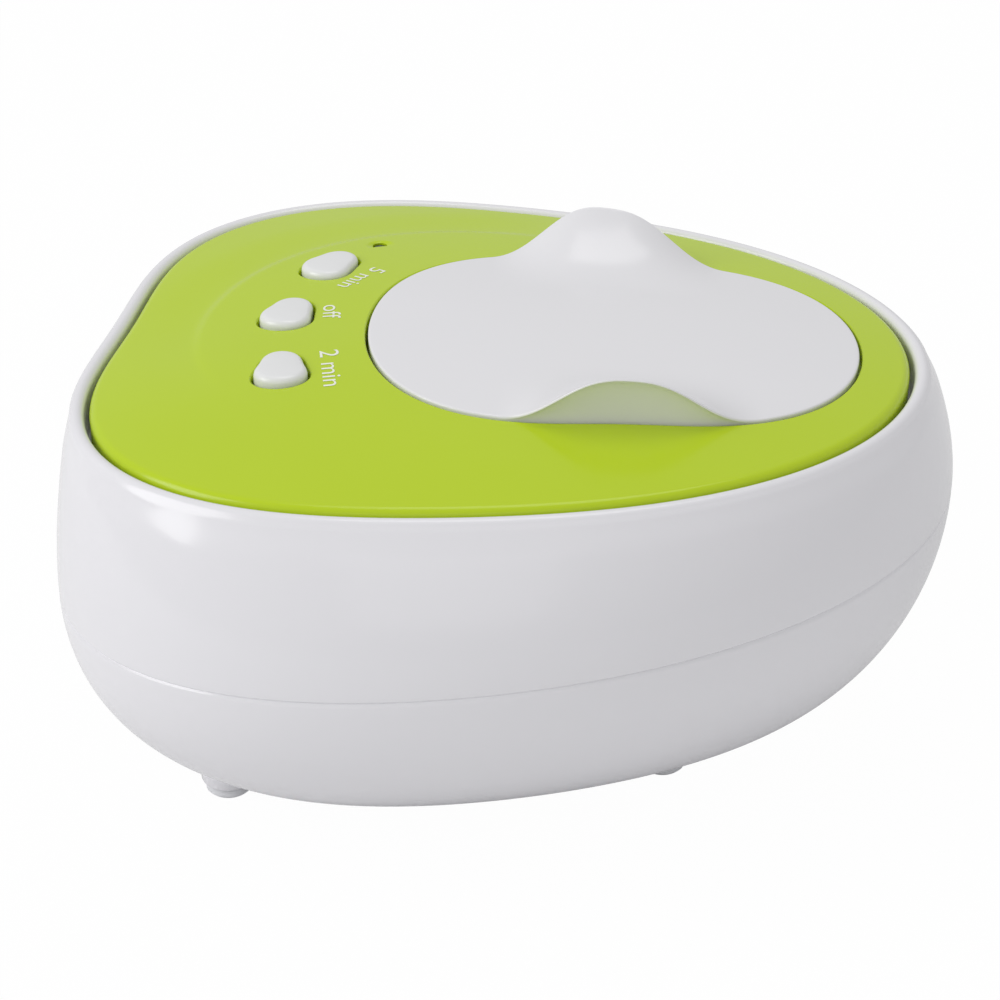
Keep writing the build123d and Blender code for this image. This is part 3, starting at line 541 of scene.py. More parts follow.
WHITE = (0.80, 0.793, 0.825)
LID_WHITE = (0.80, 0.795, 0.82)
LIME = (0.49, 0.65, 0.012)
SMOOTH_SKIN = {"spread": 0.03, "relief": 0.004}
FINISHES: dict[str, Finish] = {
    "white_shell": Finish("white shell", WHITE, 0.16, tone=0.015, dust=0.01, **SMOOTH_SKIN),
    "white_lid": Finish("white lid", LID_WHITE, 0.2, tone=0.015, dust=0.01, **SMOOTH_SKIN),
    "green_shell": Finish("lime panel", LIME, 0.2, tone=0.03, dust=0.008, specular=0.38, **SMOOTH_SKIN),
    "white_button": Finish("white button", (0.80, 0.805, 0.81), 0.22, tone=0.02, relief=0.006, dust=0.01),
    "print_white": Finish("label print", (0.86, 0.88, 0.78), 0.45, tone=0.04, relief=0.01, dust=0.0),
    "foot_rubber": Finish(
        "foot rubber", (0.74, 0.745, 0.77), 0.5, tone=0.06, relief=0.06, grain_scale=1500.0
    ),
    "screw_steel": Finish("screw steel", (0.56, 0.56, 0.57), 0.32, 1.0, tone=0.08, grain=Grain.BRUSHED),
    "plunger_black": Finish("black plunger", (0.03, 0.03, 0.032), 0.45, relief=0.03),
    "tank_steel": Finish(
        "drawn steel", (0.60, 0.61, 0.62), 0.26, 1.0, tone=0.06, spread=0.12, grain=Grain.BRUSHED,
        grain_scale=700.0, relief=0.02,
    ),
    "gasket_rubber": Finish("gasket rubber", (0.03, 0.03, 0.03), 0.65, relief=0.05, tone=0.1),
    "clamp_plastic": Finish("clamp plastic", (0.10, 0.10, 0.105), 0.5, relief=0.05, tone=0.08),
    "tray_plastic": Finish("tray plastic", (0.74, 0.77, 0.79), 0.28, tone=0.02, relief=0.01, subsurface=0.3),
    "piezo_ceramic": Finish(
        "fired ceramic", (0.55, 0.50, 0.36), 0.55, tone=0.12, grain=Grain.CAST, relief=0.05,
        grain_scale=1800.0,
    ),
    "lead_cover": Finish("red lead cover", (0.38, 0.02, 0.015), 0.4, relief=0.02),
    "board_laminate": Finish(
        "green laminate", (0.02, 0.13, 0.05), 0.35, tone=0.25, drift_scale=180.0, relief=0.05,
        grain_scale=2400.0,
    ),
    "switch_body": Finish("switch body", (0.035, 0.035, 0.04), 0.42, relief=0.04),
    "led_lens": Finish("lamp lens", (0.008, 0.03, 0.01), 0.15, tone=0.05, relief=0.004),
    "spacer_plastic": Finish("spacer plastic", (0.05, 0.05, 0.05), 0.5, relief=0.04),
    "jack_plastic": Finish("jack plastic", (0.03, 0.03, 0.032), 0.38, relief=0.04),
    "ferrite": Finish("sintered ferrite", (0.06, 0.06, 0.063), 0.5, tone=0.2, grain=Grain.CAST, relief=0.08),
    "winding_tape": Finish(
        "winding tape", (0.62, 0.42, 0.04), 0.35, tone=0.08, grain=Grain.WOUND, relief=0.05,
        grain_scale=6000.0,
    ),
    "enamelled_wire": Finish(
        "enamelled wire", (0.42, 0.13, 0.03), 0.25, 0.4, tone=0.1, grain=Grain.WOUND, grain_scale=9000.0,
        relief=0.12,
    ),
    "can_sleeve": Finish("can sleeve", (0.02, 0.03, 0.10), 0.28, relief=0.02, tone=0.08),
    "film_case": Finish("dipped resin", (0.40, 0.06, 0.02), 0.3, tone=0.1, relief=0.06, grain_scale=500.0),
    "package_resin": Finish("package resin", (0.03, 0.03, 0.033), 0.55, tone=0.1, relief=0.06),
    "sink_aluminium": Finish(
        "extruded aluminium", (0.62, 0.63, 0.64), 0.34, 1.0, tone=0.06, grain=Grain.BRUSHED, relief=0.03
    ),
    "socket_plastic": Finish("socket plastic", (0.66, 0.62, 0.50), 0.45, relief=0.03, tone=0.05),
    "harness_cover": Finish(
        "bundled leads", (0.06, 0.06, 0.07), 0.45, grain=Grain.WOUND, grain_scale=2500.0, relief=0.06
    ),
}


class Paint:
    """Keeps the built materials and puts them on pieces."""

    def __init__(self) -> None:
        """Builds the shared groups."""
        self.groups = NodeGroups()
        self.made: dict[str, bpy.types.Material] = {}

    def material(self, key: str) -> bpy.types.Material:
        """The material of a finish, built at its first use."""
        if key not in self.made:
            self.made[key] = FINISHES[key].build(self.groups)
        return self.made[key]

    def dress(self, piece: bpy.types.Object, key: str) -> None:
        """Puts a finish on a new piece."""
        piece.data.materials.clear()
        piece.data.materials.append(self.material(key))

    def dress_node(self, node: str, key: str) -> None:
        """Puts a finish in every material slot of a CAD node."""
        for place in frame["nodes"][node].material_slots:
            place.material = self.material(key)


# ---------------------------------------------------------------- housing
FOOT_PLACES = ((-35.6, -34.6), (-35.6, 34.6), (37.3, -18.9), (37.3, 18.9))
SCREW_PLACES = ((41.95, 30.31), (-58.25, 27.54), (-58.25, -27.54), (41.95, -30.31))


@dataclass
class Housing:
    """The two housing halves, with the bead round the panel and the recesses underneath."""

    parting_height: float = 45.5
    slope: float = 3.3
    base_height: float = 3.0
    wall: float = 2.6
    gap: float = 0.8
    shoulder_power: float = 1.8
    narrowing_x: float = 0.57
    narrowing_y: float = 0.70
    base_level: float = 0.985
    tuck: float = 8.4
    tuck_end: float = 120.0
    shoulder_top: float = 0.962
    shoulder_round: float = 0.36
    round_from: float = 0.78
    ledge_top: float = 63.0
    ledge_width: float = 7.0
    ledge_thickness: float = 2.0
    bead: float = 1.3
    seam: float = 0.28
    seam_round: float = 0.04
    seam_land: float = 0.25
    form_inset: float = 0.5
    boss: Profile = ((4.2, 2.2), (4.55, 2.32), (4.7, 2.7), (4.7, 5.0), (4.9, 10.5))
    screw_tube: Profile = ((4.95, 6.0), (4.95, 40.0))
    screw_well: Profile = ((2.95, -5.0), (2.95, 38.5))
    inlet_height: float = 30.0
    inlet_front: float = 61.76
    inlet_skin: float = 69.29
    inlet_wall: float = 2.0
    inlet_radius: float = 7.0
    inlet_edge: float = 0.4
    inlet_flare: float = 0.8
    plug_radius: float = 4.3
    cup_radius: float = 9.0
    cup_depth: float = 1.2

    def section(self, level: float, inset: float) -> np.ndarray:
        """One ring of the housing at a level: 1 at the rim, 0 at the parting, -1 at the base.

        Above the parting the radius is the belly's less its distance to the bead times the level
        to a power.  Below it the ring shrinks with one less the root of one less the level squared,
        and is tucked in a little more 60 degrees to each side of the nose.
        The ring tilts with the parting, by the slope times one less the level's size.
        """
        angle = PLAN.angles()
        belly = PLAN.belly.radius(angle)
        radius = belly - inset
        shrink_x = shrink_y = 1.0
        if level < 0:
            height = self.parting_height + level * (self.parting_height - self.base_height - inset)
            draw = 1 - (1 - level**2) ** 0.5
            from_nose = np.abs(np.angle(np.exp(1j * angle)))
            share = np.minimum(from_nose, radians(self.tuck_end)) / radians(self.tuck_end)
            radius = radius - self.tuck * draw * np.sin(pi * share) ** 2
            shrink_x -= self.narrowing_x * draw
            shrink_y -= self.narrowing_y * draw
        else:
            height = self.parting_height + level * (PLAN.rim_height - self.parting_height)
            bead = PLAN.rim.radius(angle) + self.gap + self.wall
            radius = radius - (belly - bead) * level**self.shoulder_power
        tilt = radians(self.slope * (1 - abs(level)))
        along = radius * np.cos(angle) * shrink_x
        across = radius * np.sin(angle) * shrink_y
        return np.stack([PLAN.plan_x + along * cos(tilt), across, height + along * sin(tilt)], axis=-1)

    def upper(self) -> bpy.types.Object:
        """Upper half: the outer wall, a full round bead, the inner face, the ledge and the inner wall."""
        angle = PLAN.angles()
        insets = (self.wall, self.seam + self.seam_land, self.seam)
        rows = [self.section(0, inset) for inset in insets]
        rows.append(self.section(0.012, self.seam_round))
        for level in np.linspace(0.03, self.shoulder_top, 46):
            ring = self.section(level, 0)
            share = (level - self.round_from) / (self.shoulder_top - self.round_from)
            pull = self.shoulder_round * smoothstep(np.array(share))
            ring[:, 0] -= pull * np.cos(angle)
            ring[:, 1] -= pull * np.sin(angle)
            rows.append(ring)
        bead_centre = PLAN.rim.radius(angle) + self.gap + self.bead
        for turn in np.radians(np.linspace(30, 180, 16)):
            radius = bead_centre + self.bead * cos(turn)
            height = PLAN.rim_height - self.bead + self.bead * sin(turn)
            rows.append(level_ring(PLAN.plan_x + radius * np.cos(angle), radius * np.sin(angle), height))
        for grow, height in (
            (self.gap, self.ledge_top),
            (-self.ledge_width, self.ledge_top),
            (-self.ledge_width, self.ledge_top - self.ledge_thickness),
        ):
            rows.append(level_ring(*PLAN.rim.points(angle, grow), height))
        for level in np.linspace(0.62, 0.06, 12):
            rows.append(self.section(level, self.wall))
        return ring_mesh("housing_upper", np.stack(rows), looped=True)

    def form(self) -> bpy.types.Object:
        """Solid inside the lower half's outer skin, a little within it."""
        rows = [self.section(-sin(a), self.form_inset) for a in np.linspace(0.0, asin(self.base_level), 40)]
        return ring_mesh("lower_form", np.stack(rows))

    def lower(self) -> bpy.types.Object:
        """Lower half: a hollow bowl whose rings shrink as a quarter ellipse down to a flat base."""
        steepest = asin(self.base_level)
        outer = [self.section(0, self.seam), self.section(-0.008, self.seam_round)]
        outer += [self.section(-sin(a), 0) for a in np.linspace(0.02, steepest, 72)]
        outer += shrinking_rings(outer[-1], (0.85, 0.6, 0.3, 0.1))
        inner = [self.section(-sin(a), self.wall) for a in np.linspace(0.0, steepest, 40)]
        inner += shrinking_rings(inner[-1], (0.6, 0.1))
        return ring_mesh("housing_lower", np.stack(outer[::-1] + inner))

    def build(self, paint: Paint) -> None:
        """Makes and dresses both halves."""
        upper = self.upper()
        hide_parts("upper_housing")
        lower = self.lower()
        self.underside(lower)
        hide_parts("lower_housing")
        for piece in (upper, lower):
            paint.dress(piece, "white_shell")
            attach(piece, "base")
            LOG.info("%s: %d faces", piece.name, len(piece.data.polygons))

    def inlet_pocket(self) -> bpy.types.Object:
        """Cutter for the inlet: the plug's hole, then a wider pocket that flares at the skin."""
        floor = self.inlet_front + self.inlet_wall
        return across_profile(
            "inlet_pocket",
            PLAN.plan_x,
            self.inlet_height,
            (
                (self.plug_radius, self.inlet_front - 3),
                (self.plug_radius, floor),
                (self.inlet_radius - self.inlet_edge, floor),
                (self.inlet_radius, floor + self.inlet_edge),
                (self.inlet_radius, self.inlet_skin - 0.6),
                (self.inlet_radius + self.inlet_flare, self.inlet_skin + 3.0),
            ),
        )

    def underside(self, lower: bpy.types.Object) -> None:
        """Adds the foot bosses, the screw wells and the inlet pocket to the lower half."""
        bosses, wells = [], []
        for number, (x, y) in enumerate(FOOT_PLACES):
            bosses.append(turned_profile(f"boss_{number}", PLAN.plan_x + x, y, self.boss))
        for number, (x, y) in enumerate(SCREW_PLACES):
            tube = turned_profile(f"tube_{number}", x, y, self.screw_tube)
            carve(tube, [self.form()], "INTERSECT")
            bosses.append(tube)
            wells.append(turned_profile(f"well_{number}", x, y, self.screw_well))
        reach = ((self.cup_radius, self.inlet_front), (self.cup_radius, self.inlet_skin - self.cup_depth))
        cup = across_profile("inlet_cup", PLAN.plan_x, self.inlet_height, reach)
        carve(cup, [self.form()], "INTERSECT")
        bosses.append(cup)
        wells.append(self.inlet_pocket())
        carve(lower, bosses, "UNION")
        carve(lower, wells, "DIFFERENCE")


# ---------------------------------------------------------------- control panel
BUTTON_COLUMNS = 96


@dataclass
class Button:
    """One press button: a rounded teardrop that stands proud of the panel."""

    name: str
    step: int
    label: str
    label_place: tuple[float, float]
    label_turn: float
    label_length: float
    mean: float = 4.9
    waves: tuple[float, ...] = (0.0, 0.8, 0.38)
    arc: float = 71.8
    spacing: float = 17.2
    lean: float = 8.0
    proud: float = 1.2
    roll: float = 1.15
    crown: float = 0.16
    collar: float = 1.2
    collar_top: float = 2.4
    cut_gap: float = 0.45
    letter_height: float = 3.1
    print_lift: float = 0.05

    @property
    def place(self) -> tuple[float, float]:
        """Centre of the button in plan."""
        return PLAN.on_arc(self.step * self.spacing, self.arc)

    def outline(self, grow: float) -> tuple[np.ndarray, np.ndarray]:
        """Rounded triangle: the mean plus waves twice and three times round, turned along the arc.

        It grows by a distance and shrinks in proportion, so that its sides never turn hollow.
        """
        angle = PLAN.angles(BUTTON_COLUMNS)
        radius = Outline(0, self.mean, self.waves).radius(angle)
        radius = radius + grow if grow > 0 else radius * (1 + grow / self.mean)
        turn = radians(90 - self.lean - self.step * self.spacing)
        x, y = self.place
        return x + radius * np.cos(angle + turn), y + radius * np.sin(angle + turn)

    def cap(self) -> bpy.types.Object:
        """The cap: a collar in the panel, straight sides, a rolled edge and a slightly crowned top."""
        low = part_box(self.name)[0].z / MM
        rows = []
        x_centre, y_centre = self.place
        top = PLAN.dome_at(x_centre, y_centre) + self.proud
        for grow, height in (
            (self.collar, low + 1.2), (self.collar, low + self.collar_top), (0.0, low + self.collar_top),
            (0.0, top - 2.2), (0.0, top - 1.2),
        ):
            rows.append(level_ring(*self.outline(grow), height))
        for turn in np.radians(np.linspace(6, 84, 9)):
            x, y = self.outline(-self.roll * (1 - cos(turn)))
            rows.append(level_ring(x, y, top - self.roll * (1 - sin(turn))))
        x, y = self.outline(-self.roll)
        for share in (0.72, 0.5, 0.25, 0.06):
            inner_x = x_centre + (x - x_centre) * share
            inner_y = y_centre + (y - y_centre) * share
            rows.append(level_ring(inner_x, inner_y, top + self.crown * (1 - share**2)))
        return ring_mesh(self.name + "_cap", np.stack(rows))

    def cutter(self) -> bpy.types.Object:
        """The opening in the panel, which flares a little where it meets the dome."""
        rows = []
        for flare, rise in ((0.0, -9.0), (0.0, -0.35), (0.08, -0.16), (0.34, 0.04), (0.5, 0.3)):
            x, y = self.outline(self.cut_gap + flare)
            rows.append(level_ring(x, y, PLAN.dome(x, y) + rise))
        return ring_mesh(self.name + "_opening", np.stack(rows))

    def print(self) -> bpy.types.Object:
        """The label: flat letters laid on the dome between the button and the lid."""
        curve = bpy.data.curves.new(self.name + "_label", "FONT")
        curve.body = self.label
        curve.align_x = "CENTER"
        curve.align_y = "CENTER"
        curve.size = 1.0
        curve.resolution_u = 6
        temporary = add_object("letters", curve)
        depsgraph = bpy.context.evaluated_depsgraph_get()
        mesh = bpy.data.meshes.new_from_object(temporary.evaluated_get(depsgraph))
        bpy.data.objects.remove(temporary)
        flat = np.zeros(len(mesh.vertices) * 3)
        mesh.vertices.foreach_get("co", flat)
        flat = flat.reshape(-1, 3)
        low, high = flat.min(axis=0), flat.max(axis=0)
        flat -= (low + high) / 2
        flat[:, 0] *= self.label_length / (high[0] - low[0])
        flat[:, 1] *= self.letter_height / (high[1] - low[1])
        x_place, y_place = PLAN.plan_x + self.label_place[0], self.label_place[1]
        turn = radians(self.label_turn)
        x = x_place + flat[:, 0] * cos(turn) - flat[:, 1] * sin(turn)
        y = y_place + flat[:, 0] * sin(turn) + flat[:, 1] * cos(turn)
        z = PLAN.panel_top(x, y) + self.print_lift
        mesh.vertices.foreach_set("co", (level_ring(x, y, z) * MM).ravel())
        return add_object(self.name + "_label", mesh)


BUTTONS = (
    Button("button_five", 1, "5 min", (-19.6, 16.4), -120.0, 10.0),
    Button("button_off", 0, "off", (-22.1, 1.6), -81.0, 5.6),
    Button("button_two", -1, "2 min", (-18.2, -19.7), -76.0, 12.6),
)


@dataclass
class ControlPanel:
    """The domed lime panel with its openings, the buttons and their labels."""

    wall: float = 2.2
    edge_roll: float = 1.35
    skirt_bottom: float = 63.0
    lid_gap: float = 0.45
    seat: float = 68.0
    seat_width: float = 7.0
    mouth_bottom: float = 60.0
    collar_lap: float = 2.0
    collar_drop: float = 0.8
    lamp_turn: float = 28.6
    lamp_arc: float = 70.5
    lamp_radius: float = 1.3
    lens_drop: float = 0.45
    lens_dome: float = 0.3
    lens_gap: float = 0.06
    lead_radius: float = 0.3
    lead_length: float = 1.6
    flange_radius: float = 1.9
    lamp_flange: float = 0.6
    body_radius: float = 1.5

    def skin(self) -> bpy.types.Object:
        """The panel: crowned top, rolled edge, skirt and underside, as rings round the plan centre."""
        angle = PLAN.angles(360)
        rows = []

        def ring(grow: float, share: float, rise: float, level: float | None = None) -> None:
            """Adds the rim's outline grown, scaled about the centre, at the dome plus a rise or a level."""
            radius = (PLAN.rim.radius(angle) + grow) * share
            x, y = PLAN.plan_x + radius * np.cos(angle), radius * np.sin(angle)
            rows.append(level_ring(x, y, PLAN.panel_top(x, y) + rise if level is None else level))

        for share in np.concatenate([[0.004], np.linspace(0.03, 0.995, 110)]):
            ring(-self.edge_roll, share, 0.0)
        for turn in np.radians(np.linspace(90, 0, 10)):
            ring(-self.edge_roll + self.edge_roll * cos(turn), 1.0, -self.edge_roll * (1 - sin(turn)))
        ring(0.0, 1.0, 0.0, self.skirt_bottom)
        ring(-self.wall, 1.0, 0.0, self.skirt_bottom)
        ring(-self.wall, 1.0, -self.wall)
        for share in (0.9, 0.7, 0.5, 0.25, 0.01):
            ring(-self.wall, share, -self.wall)
        return ring_mesh("panel_skin", np.stack(rows))

    def lid_well(self) -> bpy.types.Object:
        """Cutter for the lid's recess: the tank's mouth below the seat, the lid's outline above it."""
        angle = PLAN.angles()
        rows = []
        mouth = -self.seat_width
        for grow, level in ((mouth, self.mouth_bottom), (mouth, self.seat), (self.lid_gap, self.seat)):
            rows.append(level_ring(*PLAN.lid.points(angle, grow), level))
        for grow, rise in ((0.0, -0.4), (0.05, -0.18), (0.28, 0.03), (0.5, 3.0)):
            x, y = PLAN.lid.points(angle, self.lid_gap + grow)
            rows.append(level_ring(x, y, PLAN.dome(x, y) + rise))
        return ring_mesh("lid_well", np.stack(rows))

    def collar(self) -> bpy.types.Object:
        """The seat's collar under the dome, round the lid's recess."""
        angle = PLAN.angles(160)
        inner = PLAN.lid.points(angle, -self.seat_width - self.collar_lap)
        outer = PLAN.lid.points(angle, self.lid_gap + self.wall)
        rows = [level_ring(*place, self.seat - self.wall) for place in (inner, outer)]
        rows += [level_ring(*place, PLAN.dome(*place) - self.collar_drop) for place in (outer, inner)]
        return ring_mesh("seat_collar", np.stack(rows), looped=True)

    def lamp_opening(self) -> bpy.types.Object:
        """Cutter for the indicator's window, with a shallow dish round it."""
        x, y = PLAN.on_arc(self.lamp_turn, self.lamp_arc)
        top = PLAN.dome_at(x, y)
        dish = ((0.0, -6.0), (0.0, -0.36), (0.14, -0.26), (0.75, -0.12), (1.5, 0.10))
        profile = tuple((self.lamp_radius + grow, top + rise) for grow, rise in dish)
        return turned_profile("lamp_opening", x, y, profile)

    def lamp(self) -> bpy.types.Object:
        """The indicator lamp: flange, body and a slim dome that fills the window."""
        x, y = PLAN.on_arc(self.lamp_turn, self.lamp_arc)
        low, high = (corner.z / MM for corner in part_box("indicator_led"))
        flange = low + self.lead_length
        body = flange + self.lamp_flange
        tip = self.lamp_radius - self.lens_gap
        shoulder = PLAN.dome_at(x, y) - self.lens_drop - self.lens_dome
        rows = [(self.lead_radius, low), (self.lead_radius, flange)]
        rows += [(self.flange_radius, flange), (self.flange_radius, body)]
        rows += [(self.body_radius, body), (self.body_radius, high - 0.9)]
        rows += [(tip, high - 0.3), (tip, shoulder)]
        rows += [(tip * cos(a), shoulder + self.lens_dome * sin(a)) for a in np.radians((25, 50, 75))]
        return turned_profile("lamp", x, y, tuple(rows))

    def build(self, paint: Paint) -> None:
        """Makes the panel, its lamp, its buttons and their labels."""
        panel = self.skin()
        carve(panel, [self.collar()], "UNION")
        carve(panel, [self.lid_well(), self.lamp_opening()] + [b.cutter() for b in BUTTONS], "DIFFERENCE")
        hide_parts("top_panel")
        paint.dress(panel, "green_shell")
        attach(panel, "base")
        LOG.info("panel: %d faces", len(panel.data.polygons))
        lamp = self.lamp()
        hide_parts("indicator_led")
        paint.dress(lamp, "led_lens")
        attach(lamp, "base")
        LOG.info("lamp: %d faces", len(lamp.data.polygons))
        for button in BUTTONS:
            cap = button.cap()
            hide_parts(button.name)
            paint.dress(cap, "white_button")
            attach(cap, button.name + "_body")
            label = button.print()
            paint.dress(label, "print_white")
            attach(label, "base")
            LOG.info("%s with its label", button.name)


# ---------------------------------------------------------------- lid
@dataclass
class Lid:
    """The white lid: a flush plate whose two sides sweep up into flared finger lips."""

    proud: float = 0.3
    wall: float = 2.2
    side: float = 1.8
    seat_level: float = 68.3
    skirt_bottom: float = 65.0
    skirt_grow: float = -7.3
    skirt_wall: float = 1.6
    rise: float = 9.0
    flare: float = 3.2
    half_width: float = 20.6
    bell_power: float = 1.28
    near_shift: float = 3.0
    run: float = 20.0
    edge: float = 1.0
    power: float = 2.2
    roll: float = 0.42
    sunk: float = 0.9
    wall_bend: float = 1.5

    def bell(self, along: np.ndarray, across: np.ndarray) -> np.ndarray:
        """Squared cosine of a power of the share of the half width from each lip's middle."""
        middle = np.where(across < 0, self.near_shift, 0.0)
        share = np.minimum(1, np.abs(along - middle) / self.half_width)
        return np.cos(pi / 2 * share**self.bell_power) ** 2

    @property
    def crest(self) -> float:
        """Distance of a lip's crest from the middle."""
        return float(PLAN.lid.radius(np.array(pi / 2 + radians(PLAN.lid_turn)))) + self.flare

    def top(self, x: np.ndarray, y: np.ndarray) -> np.ndarray:
        """Dome, plus the proud height, plus the rise times the bell times the climb to a power."""
        along, across = PLAN.to_lid(x, y)
        climb = np.maximum(0, np.abs(across) - (self.crest - self.run)) / self.run
        return PLAN.dome(x, y) + self.proud + self.rise * self.bell(along, across) * climb**self.power

    def side_path(self, angle: np.ndarray, travel: float) -> np.ndarray:
        """Side of the lid from 0 in the gap to 1 at its top edge, hollow under each lip.

        The reach goes with one less the cosine of the travel.  The height goes with its sine over
        the cove, whose share of the lip leaves the edge's thickness, and evenly over the rest.
        """
        x, y = PLAN.lid.points(angle)
        along, across = PLAN.to_lid(x, y)
        out = np.sign(np.round(across, 6)) * self.flare * self.bell(along, across)
        tip_x, tip_y = PLAN.from_lid(along, across + out)
        foot = PLAN.dome(x, y) - self.sunk
        tip = self.top(tip_x, tip_y)
        lift = tip - PLAN.dome(tip_x, tip_y) - self.proud
        cove = lift * (1 - self.edge / self.rise)
        quarter = travel * pi / 2
        z = foot + cove * sin(quarter) + (tip - self.roll - foot - cove) * travel
        return level_ring(*PLAN.from_lid(along, across + out * (1 - cos(quarter))), z)

    def corner(self, angle: np.ndarray) -> np.ndarray:
        """Where the side, carried straight up, meets the top."""
        point = self.side_path(angle, 1.0)
        point[:, 2] = self.top(point[:, 0], point[:, 1])
        return point

    def shell(self) -> bpy.types.Object:
        """The whole lid as rings: hollow underside, skirt, coved side, soft edge and swept top."""
        angle = PLAN.angles(360)
        corner = self.corner(angle)
        rows = []

        def flat_ring(grow: float, level: float) -> None:
            """Adds the lid's outline grown, at a level."""
            rows.append(level_ring(*PLAN.lid.points(angle, grow), level))

        def under_ring(grow: float, share: float = 1.0) -> None:
            """Adds the outline grown and scaled, under the top by the wall."""
            x, y = PLAN.lid.points(angle, grow)
            x, y = PLAN.lid_x + (x - PLAN.lid_x) * share, y * share
            rows.append(level_ring(x, y, self.top(x, y) - self.wall))

        inner = self.skirt_grow - self.skirt_wall
        for share in (0.01, 0.2, 0.4, 0.6, 0.8, 1.0):
            under_ring(inner, share)
        flat_ring(inner, self.skirt_bottom)
        flat_ring(self.skirt_grow, self.skirt_bottom)
        under_ring(self.skirt_grow)
        under_ring(-self.side - self.wall_bend)
        under_ring(-self.side)
        flat_ring(-self.side, self.seat_level)
        flat_ring(0.0, self.seat_level)
        for travel in np.linspace(0, 1, 20):
            rows.append(self.side_path(angle, float(travel)))
        centre = np.array([PLAN.lid_x, 0.0])
        inward = centre - corner[:, :2]
        inward /= np.linalg.norm(inward, axis=1, keepdims=True)
        side_point = rows[-1]
        top_plan = corner[:, :2] + inward * self.roll
        top_point = level_ring(*top_plan.T, self.top(*top_plan.T))
        for t in np.linspace(0.15, 1.0, 7):
            rows.append((1 - t) ** 2 * side_point + 2 * t * (1 - t) * corner + t**2 * top_point)
        for share in np.concatenate([1 - np.linspace(0.012, 0.60, 60), np.linspace(0.38, 0.005, 16)]):
            plan = centre + (top_plan - centre) * share
            rows.append(level_ring(*plan.T, self.top(*plan.T)))
        return ring_mesh("lid_shell", np.stack(rows))

    def build(self, paint: Paint) -> None:
        """Makes and dresses the lid."""
        lid = self.shell()
        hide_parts("lid")
        paint.dress(lid, "white_lid")
        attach(lid, "lid")
        LOG.info("lid: %d faces", len(lid.data.polygons))


# ---------------------------------------------------------------- pieces that keep their solids
@dataclass
class Insides:
    """Tank, tray, boards, wiring and fasteners: the CAD solids with their finishes.

    A flat-topped piece keeps edges sharp from a smaller angle, so its plate stays even beside its rims.
    """

    polished: tuple[str, ...] = (
        "tank", "lens_tray", "feet", "dc_jack", "inductor", "electrolytic_capacitors"
    )
    flat_topped: tuple[str, ...] = ("lens_tray",)
    flat_topped_angle: float = 9.5

    def build(self, paint: Paint) -> None:
        """Dresses every CAD node, and shows a smoothly shaded copy of the rounded ones."""
        slots = {entry["node"]: entry["material_slot"] for entry in frame["record"]["subparts"]}
        bodies = frame["record"]["behaviour"]["bodies"]
        body_of = {node: body for body, nodes in bodies.items() for node in nodes}
        for node, slot in slots.items():
            if slot in FINISHES:
                paint.dress_node(node, slot)
        for node in self.polished:
            copy = polished_copy(node, self.flat_topped_angle if node in self.flat_topped else SHARP_ANGLE)
            paint.dress(copy, slots[node])
            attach(copy, body_of[node])
            LOG.info("%s polished: %d faces", node, len(copy.data.polygons))


# ---------------------------------------------------------------- stage
@dataclass(frozen=True)
class Softbox:
    """A square soft light: its place, the height over the origin that it faces and its size, in metres."""

    name: str
    place: tuple[float, float, float]
    aim_height: float
    size: float
    watts: float


SOFTBOXES = (
    Softbox("softbox_left", (-0.95, -0.45, 0.75), 0.04, 0.7, 5.5),
    Softbox("softbox_top", (0.05, 0.25, 1.1), 0.06, 0.55, 1.8),
    Softbox("softbox_front", (0.2, -1.3, 0.7), 0.04, 0.8, 0.9),
)


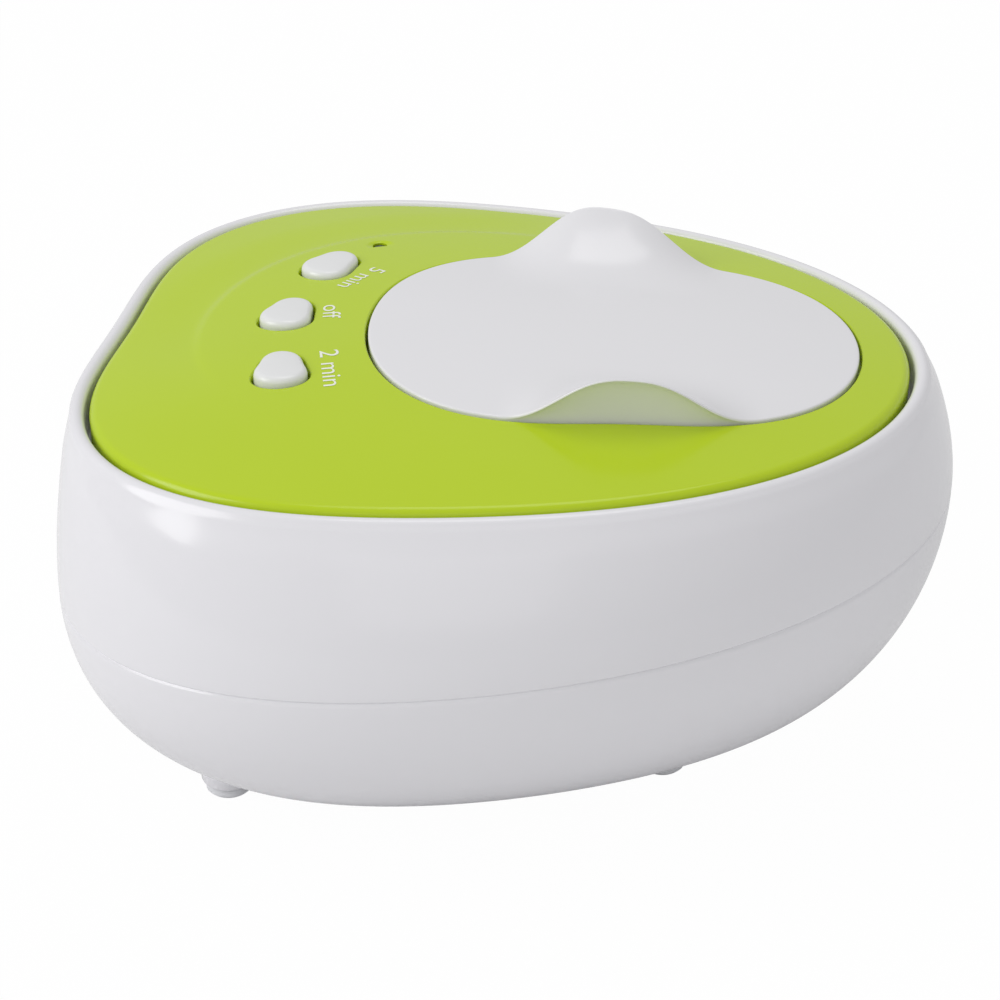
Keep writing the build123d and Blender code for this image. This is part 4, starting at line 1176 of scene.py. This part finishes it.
@dataclass
class Studio:
    """Camera, soft lights, pale floor and white surroundings."""

    target: tuple[float, float, float] = (2.85, -53.98, 70.0)
    azimuth: float = 7.07
    elevation: float = 28.97
    distance: float = 334.3
    lens: float = 81.99
    sensor: float = 36.0
    world_strength: float = 0.58
    floor_half: float = 6.0
    floor_glow: float = 0.98

    def camera(self) -> None:
        """A camera on its sight line: back from the target by the distance, at its azimuth and elevation."""
        a, e = radians(self.azimuth), radians(self.elevation)
        back = Vector((sin(a) * cos(e), -cos(a) * cos(e), sin(e)))
        data = bpy.data.cameras.new("camera")
        data.lens = self.lens
        data.sensor_width = self.sensor
        data.sensor_fit = "HORIZONTAL"
        data.clip_start = 0.01
        made = add_object("camera", data)
        made.location = (Vector(self.target) + back * self.distance) * MM
        made.rotation_euler = back.to_track_quat("Z", "Y").to_euler()
        bpy.context.scene.camera = made

    def lamp(self, softbox: Softbox) -> None:
        """A square soft light, turned to its aim."""
        data = bpy.data.lights.new(softbox.name, "AREA")
        data.size = softbox.size
        data.energy = softbox.watts
        made = add_object(softbox.name, data)
        made.location = softbox.place
        away = Vector(softbox.place) - Vector((0, 0, softbox.aim_height))
        made.rotation_euler = away.to_track_quat("Z", "Y").to_euler()

    def world(self) -> None:
        """White surroundings: plain strength as light, and full white to the camera and to transmission
        rays.
        """
        world = bpy.data.worlds.new("surroundings")
        bpy.context.scene.world = world
        world.use_nodes = True
        tree = world.node_tree
        background = tree.nodes["Background"]
        background.inputs["Color"].default_value = (1, 1, 1, 1)
        path = tree.nodes.new("ShaderNodeLightPath")
        seen = tree.nodes.new("ShaderNodeMath")
        seen.operation = "MAXIMUM"
        tree.links.new(path.outputs["Is Camera Ray"], seen.inputs[0])
        tree.links.new(path.outputs["Is Transmission Ray"], seen.inputs[1])
        strength = tree.nodes.new("ShaderNodeMix")
        strength.data_type = "FLOAT"
        strength.inputs["A"].default_value = self.world_strength
        strength.inputs["B"].default_value = 1.0
        tree.links.new(seen.outputs[0], strength.inputs["Factor"])
        tree.links.new(strength.outputs["Result"], background.inputs["Strength"])

    def floor(self) -> None:
        """A wide pale floor that glows white to the camera and keeps a faint shadow."""
        mesh = bpy.data.meshes.new("floor")
        half = self.floor_half
        corners = [(-half, -half, 0), (half, -half, 0), (half, half, 0), (-half, half, 0)]
        mesh.from_pydata(corners, [], [(0, 1, 2, 3)])
        made = add_object("floor", mesh)
        material = bpy.data.materials.new("pale floor")
        material.use_nodes = True
        tree = material.node_tree
        shader = tree.nodes["Principled BSDF"]
        fill(shader, {"Base Color": (0.86, 0.86, 0.86, 1), "Roughness": 0.9, "Specular IOR Level": 0.1})
        glow = tree.nodes.new("ShaderNodeEmission")
        fill(glow, {"Strength": 1.0})
        path = tree.nodes.new("ShaderNodeLightPath")
        share = tree.nodes.new("ShaderNodeMath")
        share.operation = "MULTIPLY"
        share.inputs[1].default_value = self.floor_glow
        blend = tree.nodes.new("ShaderNodeMixShader")
        output = tree.nodes["Material Output"]
        tree.links.new(path.outputs["Is Camera Ray"], share.inputs[0])
        tree.links.new(share.outputs[0], blend.inputs[0])
        tree.links.new(shader.outputs[0], blend.inputs[1])
        tree.links.new(glow.outputs[0], blend.inputs[2])
        tree.links.new(blend.outputs[0], output.inputs["Surface"])
        mesh.materials.append(material)

    def build(self) -> None:
        """Sets up the stage."""
        self.camera()
        self.world()
        self.floor()
        for softbox in SOFTBOXES:
            self.lamp(softbox)
        bpy.context.scene.view_settings.view_transform = "Standard"


def main() -> None:
    """Builds the stage, then each sub-assembly in order."""
    logging.basicConfig(level=logging.INFO, format="%(message)s")
    Studio().build()
    paint = Paint()
    Insides().build(paint)
    Housing().build(paint)
    ControlPanel().build(paint)
    Lid().build(paint)


if __name__ == "__main__":
    main()
